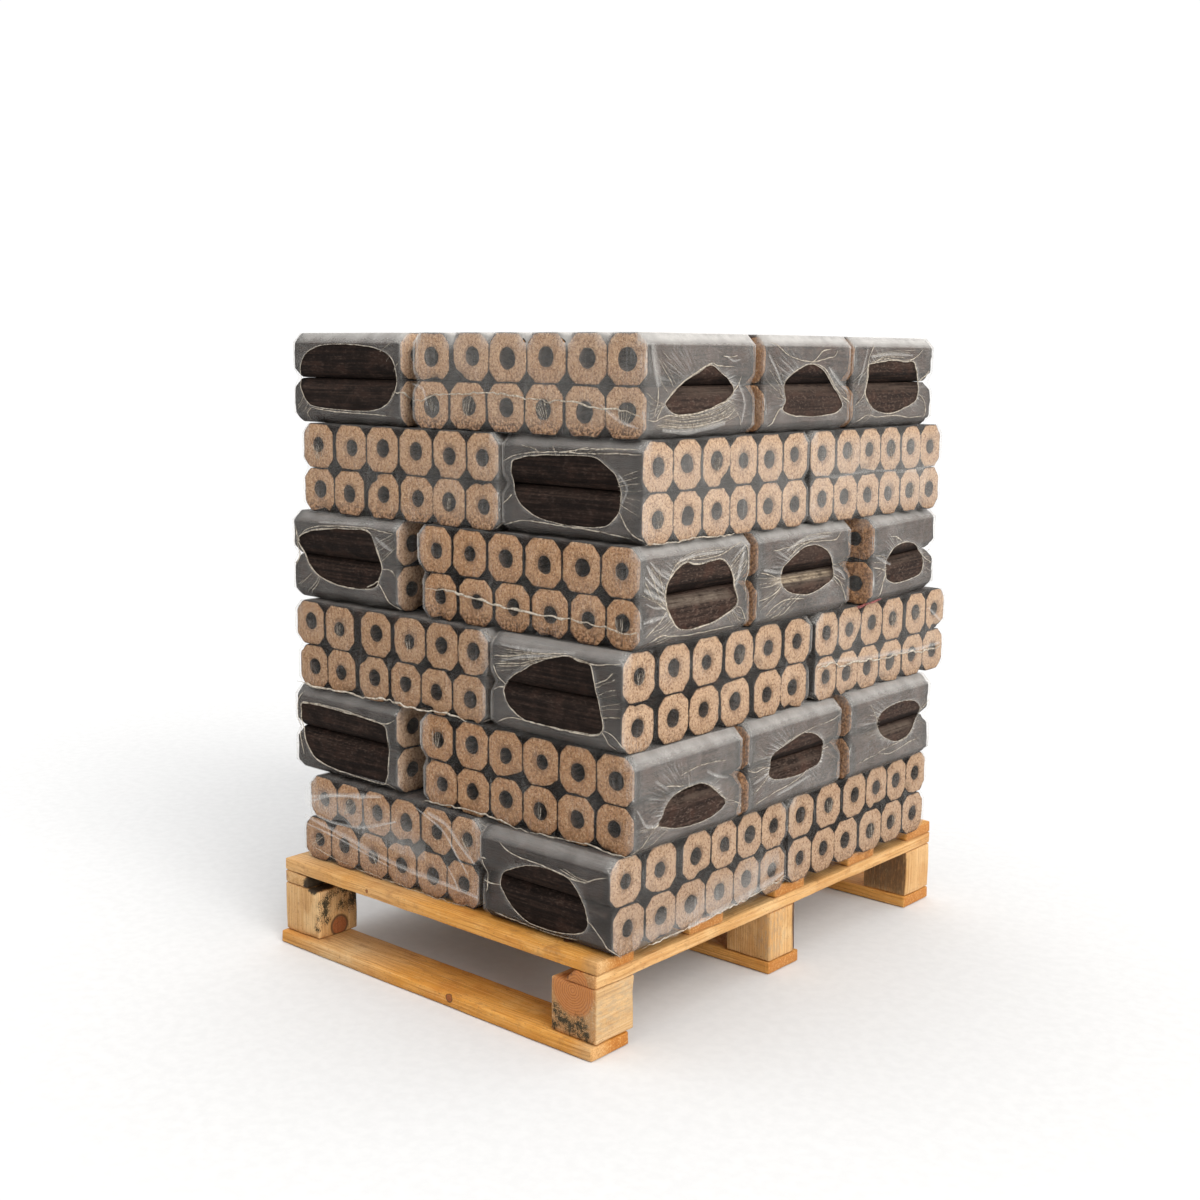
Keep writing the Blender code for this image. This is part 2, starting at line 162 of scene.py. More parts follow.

# What sets single packs apart. Lengths are in millimetres, and runs and outlines are read as one faces the
# side or the end that shows, from its lower left corner.
#   turn: how far it stands askew, in degrees seen from above
#   trim: how much shorter it looks than its solid, at its front and at its back end
#   reach, bore: half its briquettes' width, and how much wider their bores' radius is than the others'
#   lower_painted_shade, stain: painted shade over the ends of its lower row, and how stained the foot of its
#       ends
#   scraped_and_painted_light: how pale its nearest lower briquette is along its upward chamfer, scraped and
#       partly painted light
#   end_haze, rim: how solid the film looks over its ends, and the radius of the hem round its openings
#   rows: middles of the briquettes in its end, first in the upper row, then in the lower one
#   opening: the outline of the opening in the film
#   creases, bundles: creases drawn tight, and bundles of finer ones: two runs to spread them between and
#     how many there are
#   side_sheens, folds: streaks of painted sheen over its side, laid as soft folds, and flat folds over its
#     end: a run and its width
#   fold_strength: how solid those folds and sheen streaks look
#   seams, seam_look: seams over its end, their radius and how solid they look
#   red_edge: a scrap of red film caught under its edge
#   pleats: small pleats gathered over bores, their glints painted on: their middle, how they lean in
#     degrees, their length and number
PACKS = {
    "course_1_pack_left_front": dict(
        end_haze=0.065, seam_look=(0.6, 0.4), fold_strength=1.25,
        rows=((45, 100, 155, 215, 275, 335), (30, 86, 148, 207, 266, 326)),
        seams=(((6, 30), (40, 14), (90, 9), (180, 4), (300, 2), (352, 8)),),
        folds=(
            (((4, 62), (50, 55), (105, 47), (150, 38), (220, 30), (300, 26), (358, 22)), 10),
            (((14, 84), (60, 102), (120, 113), (170, 121)), 8), (((14, 92), (50, 100), (110, 111)), 4),
            (((4, 50), (60, 45), (120, 36), (190, 24)), 5),
            (((20, 68), (70, 64), (130, 70), (200, 92)), 6),
            (((262, 118), (300, 108), (322, 88), (352, 66)), 9),
            (((240, 120), (290, 100), (316, 74), (340, 48)), 5), (((300, 52), (316, 34), (322, 22)), 4),
            (((4, 92), (80, 90), (160, 82), (258, 62)), 54)),
        pleats=((100, 92, 60, 30, 5), (30, 30, 40, 30, 5), (155, 30, 110, 26, 4), (335, 88, 120, 30, 5))),
    "course_1_pack_right_back": dict(
        end_haze=0.04,
        rows=((32, 100, 169, 230, 285, 339), (30, 87, 149, 215, 277, 335)),
        pleats=((100, 92, 84, 24, 5), (215, 30, 96, 24, 5), (277, 34, 86, 24, 4))),
    "course_1_pack_right_front": dict(
        lower_painted_shade=0.16, end_haze=0.05, rim=0.4, seam_look=(0.8, 0.85), fold_strength=1.15,
        rows=((30, 99, 172, 230, 285, 340), (38, 98, 160, 223, 282, 338)),
        opening=(
            (32, 55), (42, 72), (70, 86), (95, 93), (120, 95), (150, 92), (166, 80), (175, 62), (179, 46),
            (180, 34), (170, 22), (145, 15), (115, 12), (88, 13), (66, 19), (48, 31), (38, 42)),
        creases=(
            (
                (36, 112), (48, 104), (70, 99), (100, 98), (135, 94), (164, 90), (182, 92), (200, 100),
                (216, 105)),
            ((2, 52), (16, 51), (32, 53)), ((178, 42), (190, 34), (204, 22), (216, 10), (226, 2)),
            ((3, 84), (12, 84)), ((6, 36), (9, 48), (8, 66), (5, 84)),
            ((20, 12), (60, 8), (110, 5), (160, 9))),
        bundles=((((140, 98), (166, 92), (184, 90)), ((150, 102), (172, 96), (188, 96)), 3),),
        seams=(((60, 1), (150, 2), (250, 6), (330, 12), (368, 17)),),
        folds=(
            (((40, 16), (120, 24), (200, 30), (280, 36), (350, 50)), 46),
            (((150, 4), (230, 10), (300, 16), (362, 24)), 12))),
    "course_2_pack_left_back": dict(
        turn=1.0),
    "course_2_pack_left_front": dict(
        rim=0.7,
        opening=(
            (13, 73), (13, 88), (16, 99), (60, 101), (120, 99), (188, 95), (198, 80), (201, 60),
            (200, 40), (197, 20), (185, 9), (140, 10), (90, 13), (50, 19), (32, 31), (21, 48)),
        creases=(
            ((12, 98), (60, 103), (120, 101), (190, 96), (214, 104)),
            ((18, 24), (8, 60), (6, 98), (16, 116)), ((185, 9), (196, 12), (204, 4))),
        bundles=((((14, 92), (8, 84), (2, 78)), ((22, 46), (12, 40), (2, 34)), 5),)),
    "course_2_pack_right_back": dict(
        scraped_and_painted_light=0.3, rim=0.4,
        opening=(
            (68, 75), (76, 86), (100, 94), (135, 96), (170, 92), (186, 83), (190, 74), (180, 62),
            (172, 53), (166, 45), (148, 39), (128, 37), (105, 43), (85, 53), (74, 64)),
        creases=(
            ((69, 76), (62, 88), (48, 105)), ((190, 74), (204, 80), (216, 86)),
            ((70, 30), (110, 34), (150, 38), (172, 51)),
            ((20, 24), (70, 28), (110, 23), (160, 30), (192, 32))),
        bundles=(
            (((78, 86), (62, 100), (46, 114)), ((74, 64), (56, 58), (30, 48)), 5),
            (((188, 76), (198, 84), (208, 96)), ((178, 60), (192, 54), (208, 44)), 5))),
    "course_2_pack_right_front": dict(
        end_haze=0.025, seam_look=(0.8, 0.9),
        rows=((30, 98, 158, 220, 281, 343), (38, 100, 160, 218, 279, 343)),
        opening=(
            (45, 34), (53, 43), (60, 55), (80, 66), (105, 70), (130, 70), (150, 62), (170, 47), (183, 36),
            (170, 26), (140, 20), (100, 20), (70, 25)),
        creases=(
            ((47, 36), (30, 26), (15, 14), (4, 5)), ((182, 37), (198, 33), (211, 27), (217, 18)),
            ((60, 80), (80, 76), (96, 74)), ((148, 64), (165, 54), (181, 39)),
            ((88, 88), (130, 93), (182, 90))),
        bundles=(
            (((46, 35), (28, 36), (4, 42)), ((68, 25), (48, 16), (24, 4)), 5),
            (((60, 58), (50, 74), (36, 98)), ((112, 71), (116, 84), (120, 98)), 4),
            (((176, 42), (194, 50), (214, 66)), ((180, 32), (196, 24), (212, 8)), 5)),
        side_sheens=((((140, 84), (160, 74), (186, 66)), 6), (((8, 60), (20, 40), (42, 34)), 5)),
        seams=(((4, 3), (60, 6), (110, 8), (140, 6), (185, 1), (240, 2), (300, 5), (340, 1), (376, 5)),),
        pleats=((30, 92, 86, 26, 5), (220, 30, 90, 18, 3))),
    "course_2_pack_right_middle": dict(
        rim=0.36,
        opening=(
            (42, 52), (47, 60), (47, 72), (56, 79), (90, 87), (125, 94), (150, 88), (168, 77), (173, 68),
            (170, 55), (160, 44), (135, 40), (110, 37), (70, 40), (50, 45)),
        creases=(
            ((48, 60), (30, 62), (15, 60), (1, 64)), ((43, 52), (30, 42), (8, 31)),
            ((12, 17), (60, 25), (110, 32), (133, 41)),
            ((55, 79), (90, 90), (140, 97), (190, 100), (212, 105)), ((172, 62), (186, 64))),
        bundles=(
            (((46, 72), (30, 86), (8, 104)), ((44, 50), (26, 42), (2, 26)), 7),
            (((168, 76), (184, 88), (206, 104)), ((168, 54), (186, 44), (206, 26)), 6)),
        side_sheens=((((8, 46), (24, 50), (42, 54)), 5), (((60, 20), (100, 26), (140, 32)), 5))),
    "course_3_pack_left_back": dict(
        turn=-1.5),
    "course_3_pack_left_front": dict(
        end_haze=0.03,
        rows=((30, 96, 171, 238, 302, 362), (38, 98, 165, 232, 290, 352)),
        seams=(((2, 6), (40, 3), (110, 4), (150, 3), (190, 7), (250, 3), (310, 6), (350, 2)),),
        pleats=((96, 90, 82, 22, 3), (238, 88, 100, 18, 3))),
    "course_3_pack_right_back": dict(
        end_haze=0.09,
        rows=((28, 88, 147, 203, 272, 326), (28, 82, 140, 200, 265, 324)),
        seams=(((2, 48), (40, 50), (70, 42), (100, 45), (180, 38), (230, 40), (290, 34), (345, 35)),),
        folds=(
            (((2, 54), (60, 53), (120, 47), (200, 44), (280, 40), (340, 41)), 8),
            (((300, 100), (325, 84), (344, 72)), 5)),
        pleats=((203, 92, 86, 26, 6), (272, 94, 80, 26, 5), (88, 34, 100, 22, 4))),
    "course_3_pack_right_front": dict(
        end_haze=0.035,
        rows=((31, 100, 167, 234, 299, 366), (31, 100, 162, 227, 298, 361)),
        opening=(
            (23, 52), (27, 63), (40, 75), (80, 97), (105, 106), (130, 112), (155, 109), (169, 105),
            (175, 85), (180, 65), (187, 45), (189, 29), (178, 22), (140, 20), (90, 20), (60, 21),
            (35, 33)),
        creases=(
            ((24, 58), (13, 56), (4, 52)), ((26, 62), (12, 70), (5, 84)),
            ((130, 113), (90, 103), (50, 92), (8, 86)), ((128, 114), (80, 108), (30, 99), (5, 96)),
            ((130, 113), (168, 107), (215, 113)), ((188, 29), (203, 26), (222, 12)),
            ((187, 28), (195, 19), (204, 6)), ((176, 84), (193, 91), (205, 101)),
            ((10, 11), (40, 21), (110, 19), (175, 20), (187, 28))),
        bundles=(
            (((128, 114), (80, 110), (24, 108)), ((60, 90), (40, 82), (6, 76)), 10),
            (((176, 80), (190, 88), (208, 96)), ((187, 42), (200, 44), (216, 46)), 6)),
        side_sheens=((((20, 112), (80, 112), (140, 116)), 6), (((20, 92), (60, 102), (110, 110)), 5)),
        pleats=((31, 92, 80, 20, 4), (234, 92, 96, 22, 4))),
    "course_4_pack_left_front": dict(
        rim=0.8,
        opening=(
            (12, 83), (30, 95), (70, 103), (120, 107), (162, 108), (175, 94), (185, 75), (191, 57),
            (185, 43), (181, 34), (165, 27), (130, 25), (90, 27), (62, 34), (42, 44), (27, 62)),
        creases=(
            ((10, 84), (30, 98), (60, 106), (120, 110), (165, 111), (215, 107)),
            ((190, 57), (203, 58), (214, 53), (224, 44)), ((182, 40), (195, 25), (206, 12), (219, 3)),
            ((8, 100), (12, 62), (6, 46)), ((160, 29), (184, 40))),
        bundles=(
            (((172, 98), (186, 104), (212, 112)), ((190, 62), (204, 72), (222, 88)), 7),
            (((14, 84), (8, 100), (6, 114)), ((26, 66), (14, 54), (2, 40)), 5),
            (((42, 44), (28, 34), (6, 22)), ((64, 33), (52, 18), (36, 4)), 5)),
        side_sheens=((((180, 100), (196, 92), (214, 84)), 6), (((60, 112), (110, 114), (170, 116)), 5))),
    "course_4_pack_right_back": dict(
        turn=6.5, red_edge=((-26, 1), (-12, 0), (4, 2), (24, 3), (46, 5)),
        opening=(
            (38, 48), (44, 62), (62, 76), (92, 82), (120, 80), (142, 74), (156, 64), (168, 56), (172, 42),
            (164, 30), (140, 26), (100, 24), (66, 26), (44, 34)),
        creases=(
            ((40, 44), (33, 34), (27, 22), (20, 10)), ((2, 55), (18, 52), (38, 47)),
            ((156, 64), (172, 54), (190, 46), (206, 42)), ((50, 95), (72, 92), (92, 84))),
        bundles=(
            (((44, 62), (30, 70), (4, 76)), ((44, 36), (34, 28), (14, 12)), 6),
            (((160, 62), (178, 66), (200, 72)), ((168, 34), (184, 24), (202, 10)), 5)),
        side_sheens=((((6, 70), (30, 62), (54, 54)), 6),)),
    "course_4_pack_right_front": dict(
        stain=1.0, scraped_and_painted_light=0.55, end_haze=0.03, rim=1.0, fold_strength=1.1,
        rows=((36, 100, 165, 231, 294, 357), (46, 112, 177, 242, 307, 360)),
        opening=(
            (48, 65), (51, 78), (65, 92), (85, 101), (105, 97), (120, 96), (140, 99), (162, 97),
            (179, 82), (188, 60), (193, 43), (188, 34), (165, 26), (140, 20), (100, 17), (75, 20),
            (62, 31), (52, 46)),
        creases=(
            ((52, 47), (40, 35), (28, 28), (10, 18)),
            ((52, 82), (66, 99), (85, 105), (110, 102), (150, 103), (180, 111), (206, 116)),
            ((206, 116), (213, 102), (214, 74), (210, 40)),
            ((20, 8), (38, 16), (65, 13), (100, 10), (192, 10)),
            ((189, 35), (200, 32), (208, 20), (212, 8)), ((50, 49), (33, 70), (18, 96)),
            ((51, 54), (40, 76), (32, 100)), ((50, 46), (28, 60), (8, 84)),
            ((176, 86), (190, 96), (205, 110)), ((186, 68), (200, 78), (212, 92))),
        bundles=(
            (((50, 78), (36, 92), (22, 112)), ((52, 48), (30, 56), (4, 68)), 12),
            (((54, 42), (34, 34), (10, 30)), ((76, 20), (60, 10), (40, 3)), 6),
            (((170, 93), (186, 104), (204, 117)), ((186, 66), (200, 74), (214, 84)), 9),
            (((188, 34), (198, 28), (214, 24)), ((170, 26), (182, 12), (196, 2)), 5),
            (((64, 93), (100, 103), (140, 103)), ((60, 103), (110, 112), (180, 112)), 5)),
        side_sheens=(
            (((10, 104), (24, 88), (46, 72)), 7), (((6, 76), (24, 68), (48, 58)), 8),
            (((6, 36), (24, 38), (50, 40)), 6), (((8, 90), (24, 78), (48, 64)), 4),
            (((16, 108), (34, 94), (52, 84)), 5), (((12, 58), (26, 52), (46, 50)), 4),
            (((204, 104), (196, 84), (190, 62)), 7), (((70, 104), (110, 109), (160, 108)), 6),
            (((178, 94), (192, 104), (208, 112)), 5)),
        seams=(
            (
                (20, 40), (60, 42), (110, 37), (160, 32), (230, 29), (300, 28), (345, 25), (365, 22),
                (385, 24)),),
        pleats=((357, 30, 96, 20, 4),)),
    "course_4_pack_right_middle": dict(
        scraped_and_painted_light=1.0, fold_strength=1.1,
        opening=(
            (54, 73), (70, 83), (90, 93), (115, 99), (140, 96), (160, 87), (172, 73), (177, 60),
            (176, 49), (158, 41), (130, 34), (110, 32), (85, 36), (65, 43), (53, 54)),
        creases=(
            ((54, 52), (40, 43), (20, 38), (1, 36)),
            ((62, 84), (100, 101), (150, 102), (178, 101), (192, 111)),
            ((18, 14), (40, 26), (70, 31), (105, 28)), ((176, 52), (192, 42), (204, 26), (209, 14)),
            ((30, 98), (90, 102), (125, 104)), ((52, 58), (30, 66), (6, 72))),
        bundles=(
            (((53, 62), (34, 62), (4, 66)), ((54, 50), (36, 36), (6, 22)), 7),
            (((70, 84), (100, 102), (150, 103)), ((60, 98), (110, 112), (176, 112)), 5),
            (((174, 68), (188, 70), (206, 80)), ((174, 48), (190, 38), (206, 20)), 6),
            (((80, 36), (50, 26), (16, 10)), ((110, 32), (90, 18), (64, 4)), 4)),
        side_sheens=(
            (((10, 76), (30, 72), (52, 68)), 6), (((60, 96), (100, 108), (160, 108)), 6),
            (((178, 62), (194, 56), (206, 44)), 5))),
    "course_5_pack_left_front": dict(
        reach=32.5, bore=0.6, stain=0.9, end_haze=0.06,
        rows=((34, 102, 168, 233, 300, 360), (34, 98, 167, 234, 299, 358)),
        pleats=((34, 84, 104, 26, 6), (300, 30, 80, 20, 3))),
    "course_5_pack_left_middle": dict(
        turn=0.8),
    "course_5_pack_right_back": dict(
        end_haze=0.15, fold_strength=0.5,
        rows=((31, 95, 151, 206, 262, 316), (30, 88, 151, 205, 265, 316)),
        folds=((((4, 70), (60, 62), (150, 66), (250, 60), (340, 68)), 6),),
        pleats=((95, 92, 84, 26, 5), (206, 90, 96, 24, 5), (265, 30, 84, 22, 4))),
    "course_5_pack_right_front": dict(
        end_haze=0.12, seam_look=(0.8, 0.9),
        rows=((31, 87, 143, 202, 260, 315), (31, 90, 145, 202, 260, 314)),
        opening=(
            (17, 72), (17, 88), (24, 94), (60, 100), (105, 102), (150, 103), (172, 94), (190, 80),
            (196, 62), (195, 45), (188, 32), (172, 21), (140, 17), (100, 18), (65, 23), (40, 33),
            (25, 48)),
        creases=(
            ((2, 90), (25, 99), (60, 104), (105, 106), (150, 106), (190, 108), (228, 108)),
            ((18, 50), (9, 42), (1, 36)), ((194, 40), (203, 26), (214, 15), (227, 6)),
            ((2, 10), (40, 18), (100, 16), (160, 14), (210, 8)), ((100, 106), (150, 112), (222, 114))),
        bundles=(
            (((190, 80), (204, 86), (226, 96)), ((194, 48), (208, 42), (226, 34)), 7),
            (((60, 100), (50, 107), (20, 112)), ((150, 104), (160, 110), (200, 114)), 4)),
        side_sheens=((((194, 84), (206, 70), (200, 50)), 5),),
        seams=(((5, 3), (50, 1), (100, 4), (140, 2), (180, 2)),),
        pleats=((143, 92, 84, 22, 4), (31, 30, 96, 24, 4))),
    "course_6_pack_left_front": dict(
        rim=0.4, seam_look=(0.9, 1.0),
        opening=(
            (12, 60), (16, 80), (30, 97), (60, 107), (100, 109), (140, 108), (180, 103), (205, 93),
            (214, 80), (217, 63), (214, 48), (206, 37), (195, 28), (170, 21), (130, 19), (90, 20),
            (50, 22), (32, 27), (20, 40)),
        creases=(
            ((206, 38), (212, 47), (218, 45), (226, 47)), ((40, 22), (30, 14), (25, 3)),
            ((38, 21), (90, 17), (150, 16), (205, 14))),
        bundles=(
            (((20, 40), (12, 32), (2, 24)), ((40, 24), (32, 14), (22, 3)), 4),
            (((180, 103), (192, 108), (206, 116)), ((214, 70), (218, 76), (224, 84)), 3)),
        seams=(((-1, 47), (7, 45), (15, 39), (26, 36), (44, 38)),)),
    "course_6_pack_right_back": dict(
        rim=0.6,
        opening=(
            (28, 50), (34, 62), (35, 85), (40, 88), (70, 91), (100, 93), (130, 91), (155, 91), (163, 82),
            (170, 68), (173, 57), (171, 45), (165, 35), (140, 27), (100, 19), (70, 21), (50, 27),
            (35, 38)),
        creases=(
            ((4, 31), (20, 42), (31, 54)), ((32, 60), (33, 88), (41, 105), (50, 115)),
            ((40, 90), (80, 95), (130, 93), (158, 96), (182, 109)),
            ((10, 9), (35, 18), (60, 15), (110, 16), (150, 12), (186, 14)),
            ((172, 45), (188, 36), (194, 22), (190, 10)), ((172, 62), (190, 71), (201, 78))),
        bundles=(
            (((34, 64), (22, 52), (2, 40)), ((34, 86), (20, 80), (4, 66)), 5),
            (((50, 91), (80, 97), (130, 95)), ((44, 100), (90, 106), (160, 108)), 5),
            (((28, 48), (20, 34), (6, 14)), ((52, 26), (46, 14), (40, 4)), 4)),
        side_sheens=((((12, 60), (20, 84), (30, 112)), 6), (((40, 98), (90, 102), (150, 100)), 6))),
    "course_6_pack_right_front": dict(
        trim=(0, 3), reach=33.1, bore=2.5, stain=1.0, end_haze=0.1, seam_look=(0.85, 0.92),
        rows=((35, 107, 173, 239, 304, 368), (34, 102, 170, 234, 302, 366)),
        opening=(
            (34, 43), (50, 55), (75, 70), (100, 79), (120, 87), (140, 79), (160, 68), (170, 57),
            (162, 47), (140, 38), (110, 32), (70, 28), (50, 30), (40, 36)),
        creases=(
            (
                (1, 24), (15, 22), (38, 28), (70, 27), (110, 32), (150, 43), (168, 54), (178, 62),
                (184, 73)),
            ((35, 44), (48, 55), (75, 71), (100, 81), (121, 89), (135, 86), (166, 85)),
            ((12, 26), (19, 42), (22, 62)), ((18, 24), (29, 40)), ((165, 36), (180, 24), (184, 13)),
            ((18, 17), (80, 13), (150, 22), (170, 31)), ((145, 98), (160, 96), (174, 99))),
        bundles=(
            (((38, 30), (80, 27), (130, 33), (168, 47)), ((14, 14), (70, 9), (140, 15), (182, 26)), 14),
            (((66, 72), (52, 88), (30, 104)), ((40, 52), (26, 66), (10, 88)), 4),
            (((1, 20), (12, 24), (32, 38)), ((1, 60), (14, 50), (33, 42)), 5)),
        side_sheens=(
            (((9, 112), (14, 90), (22, 62)), 14), (((30, 12), (90, 11), (150, 17)), 12),
            (((150, 98), (166, 92), (180, 94)), 4), (((178, 66), (190, 40), (184, 16)), 5)),
        seams=(
            (
                (2, 36), (25, 38), (45, 45), (90, 47), (140, 50), (190, 46), (240, 42), (290, 41),
                (320, 36), (345, 35), (372, 32), (395, 25)),),
        folds=((((2, 58), (22, 52), (30, 30)), 5), (((330, 40), (360, 22), (388, 14)), 6)),
        pleats=((104, 32, 84, 26, 6), (234, 30, 112, 24, 6), (366, 27, 80, 26, 6), (38, 30, 100, 18, 4))),
    "course_6_pack_right_middle": dict(
        trim=(7, 3), rim=0.5,
        opening=(
            (46, 32), (53, 41), (50, 52), (52, 65), (70, 77), (105, 88), (130, 84), (147, 75), (165, 58),
            (182, 42), (187, 31), (170, 23), (140, 20), (100, 20), (70, 22), (54, 26)),
        creases=(
            ((18, 118), (38, 108), (60, 98), (95, 92), (115, 92), (135, 104), (156, 108)),
            ((106, 89), (150, 96), (164, 98), (172, 106)),
            ((106, 88), (130, 86), (150, 76), (174, 53), (196, 40), (206, 36)),
            ((48, 34), (36, 28), (20, 9)), ((50, 44), (43, 48), (38, 56))),
        bundles=(
            (((52, 62), (40, 80), (22, 104)), ((48, 42), (30, 46), (6, 60)), 5),
            (((146, 76), (170, 62), (204, 44)), ((172, 52), (188, 40), (206, 30)), 4)),
        side_sheens=((((12, 100), (26, 84), (44, 62)), 6), (((150, 84), (176, 66), (200, 52)), 6))),
}

# How each timber is cut and marked. Pith is where the tree's middle runs, in metres across the piece from
# its own middle; tone goes from orange to pale. Knots, mould, heart, pale, scuffs and hollow are spots in
# millimetres from the piece's lowest corner, each with its reach; the hollow spots are painted shadow, near
# black, in the void beside the left stringer under the deck. Wane is an edge left round: the direction it
# faces across the piece, how deep it cuts and, if it stops, how far it runs from the low end. The grain
# follows the axis given, or else X in the boards and Y in the stringers and blocks.
TIMBERS = {
    "bottom_board_front": dict(
        pith=(0.02, -0.05), tone=0.08, knots=((352, -2, 13, 0.5),),
        pale=((120, 20, 17, 110), (592, 10, 10, 24))),
    "bottom_board_middle": dict(pith=(-0.03, 0.04), tone=0.25),
    "bottom_board_back": dict(pith=(0.01, -0.04), tone=0.2, knots=((410, 30, 17, 0.7),)),
    "stringer_left": dict(
        pith=(0.03, -0.02), tone=0.82, wane=((1.0, 0.7), 0.006, 0.10), pale=((10, 0, 9, 24), (38, 0, 9, 24)),
        hollow=((56, 6, 4, 16), (56, 24, 6, 20), (56, 50, 8, 24), (56, 84, 8, 26))),
    "stringer_right": dict(
        pith=(-0.008, -0.012), tone=0.62, wane=((-1, 1), 0.012), heart=((18, 0, 0, 22),),
        pale=((90, 0, 18, 14),), mould=((95, 260, 14, 30), (95, 520, 8, 30))),
    "deck_board_1": dict(
        pith=(0.01, -0.035), tone=0.12, knots=((526, 34, 18, 0.6), (180, 0, 9, 0.2)),
        pale=((40, 50, 18, 120), (200, 56, 18, 95), (600, 8, 10, 24))),
    "deck_board_2": dict(pith=(-0.02, 0.03), tone=0.3),
    "deck_board_3": dict(pith=(0.03, -0.04), tone=0.2),
    "deck_board_4": dict(pith=(0.0, 0.05), tone=0.3),
    "deck_board_5": dict(pith=(0.02, -0.03), tone=0.25),
    "block_left_front": dict(
        pith=(0.055, 0.09), tone=0.78, grain=2, knots=((76, 37, 13, 1.2),),
        hollow=((75, 76, 66, 15), (61, 6, 77, 14), (61, 24, 77, 14), (61, 42, 77, 14), (61, 60, 77, 14)),
        mould=((77, 10, 54, 13), (77, 11, 40, 12), (77, 13, 28, 9), (71, -2, 16, 8), (72, -2, 30, 7),
               (77, 44, 44, 13), (77, 62, 64, 24), (77, 68, 44, 22), (77, 76, 22, 16), (77, 40, 64, 10),
               (77, 26, 64, 9))),
    "block_left_middle": dict(pith=(-0.04, 0.03), tone=0.6, grain=2, mould=((70, 10, 10, 24),)),
    "block_left_back": dict(pith=(0.04, -0.03), tone=0.7, grain=2),
    "block_right_front": dict(
        pith=(-0.001, 0.026), tone=0.95, heart=((37, 0, 62, 36),),
        mould=((20, 0, 20, 15), (34, 0, 12, 15), (50, 0, 19, 15), (58, 0, 5, 12), (10, 0, 30, 10),
               (6, 0, 8, 9)),
        scuffs=((75, 20, 34, 30), (75, 50, 46, 32))),
    "block_right_middle": dict(
        pith=(-0.05, -0.02), tone=0.70, grain=2, wane=((1.0, 0.5), 0.0105),
        scuffs=((77, 12, 30, 30), (77, 16, 60, 26))),
    # block_right_back: its wane takes in the whole -Y face, which is cut back a little and coloured as dark
    # bark.
    "block_right_back": dict(pith=(0.03, -0.03), tone=0.78, grain=2, wane=((0, -1), 0.0035)),
}

# A timber's grid and wear, in metres: the grid's step, how round its edges are, how much they are worn, how
# much that and the faces vary, how far bark takes to fade in and a wane to run out, and how far in from the
# ends the cut shows. PALE_TONE is the tone of pale spots.
TIMBER_STEP = 0.006
EDGE_ROUND = 0.0022
EDGE_WORN, EDGE_WORN_VARIES, FACE_WORN_VARIES, FACE_PROUD = 0.0008, 0.0009, 0.0004, 0.0003
BARK_EDGE, WANE_END, CUT_DEEP = 0.003, 0.04, 0.0012
PALE_TONE = 0.75

# The floor and the lamps. Each lamp has the direction it shines from, its width in degrees, its strength and
# its colour; strength 1 turns a white face that looks at it white.
FLOOR_HALF = 30.0
FLOOR_LOWER = 0.0005
LAMPS = {
    "key": ((0.92, -0.20, 0.56), 46, 0.86, (1.0, 0.985, 0.96)),
    "top": ((0.05, -0.1, 1.0), 80, 0.36, (1.0, 1.0, 1.0)),
}
SKY_TILT = 0.35
SKY_RAMP = {"From Min": -0.5, "From Max": 0.6, "To Min": 0.36, "To Max": 1.03}


def lattice(cells, seed):
    """A repeatable value from 0 to 1 for each whole-numbered cell."""
    mixed = cells @ np.array((127.1, 311.7, 74.7)) + seed * 19.19
    return np.modf(np.abs(np.sin(mixed) * 43758.5453))[0]


def noise(points, size, seed):
    """Smooth value noise from -1 to 1 at points, with bumps about size across."""
    q = np.asarray(points, float) / size
    base = np.floor(q)
    part = q - base
    part = part * part * (3 - 2 * part)
    total = np.zeros(q.shape[:-1])
    for corner in np.ndindex(2, 2, 2):
        weight = np.prod(np.where(corner, part, 1 - part), axis=-1)
        total += weight * lattice(base + corner, seed)
    return total * 2 - 1


def bell(distance, width):
    """1 at no distance, falling smoothly to nothing past about twice the width."""
    return np.exp(-((distance / width) ** 2))


def unit(vectors):
    """The same vectors with length 1."""
    return vectors / np.maximum(np.linalg.norm(vectors, axis=-1, keepdims=True), 1e-9)


def spline(points, step):
    """Points about step apart along a smooth run through the given ones."""
    p = np.asarray(points, float)
    ends = np.vstack((2 * p[0] - p[1], p, 2 * p[-1] - p[-2]))
    out = []
    for a, b, c, d in zip(ends, ends[1:], ends[2:], ends[3:]):
        count = max(2, int(round(np.linalg.norm(c - b) / step)))
        t = np.arange(count)[:, None] / count
        curve = (2 * a - 5 * b + 4 * c - d) * t**2 + (3 * b - a - 3 * c + d) * t**3
        out.append(0.5 * (2 * b + (c - a) * t + curve))
    return np.vstack(out + [p[-1:]])


def closed_spline(points, step):
    """The same round a closed outline."""
    run = spline([points[-1], *points, points[0], points[1]], step)
    first = np.argmin(np.linalg.norm(run - points[0], axis=1))
    last = len(run) - 1 - np.argmin(np.linalg.norm(run[::-1] - points[0], axis=1))
    return run[first:last]


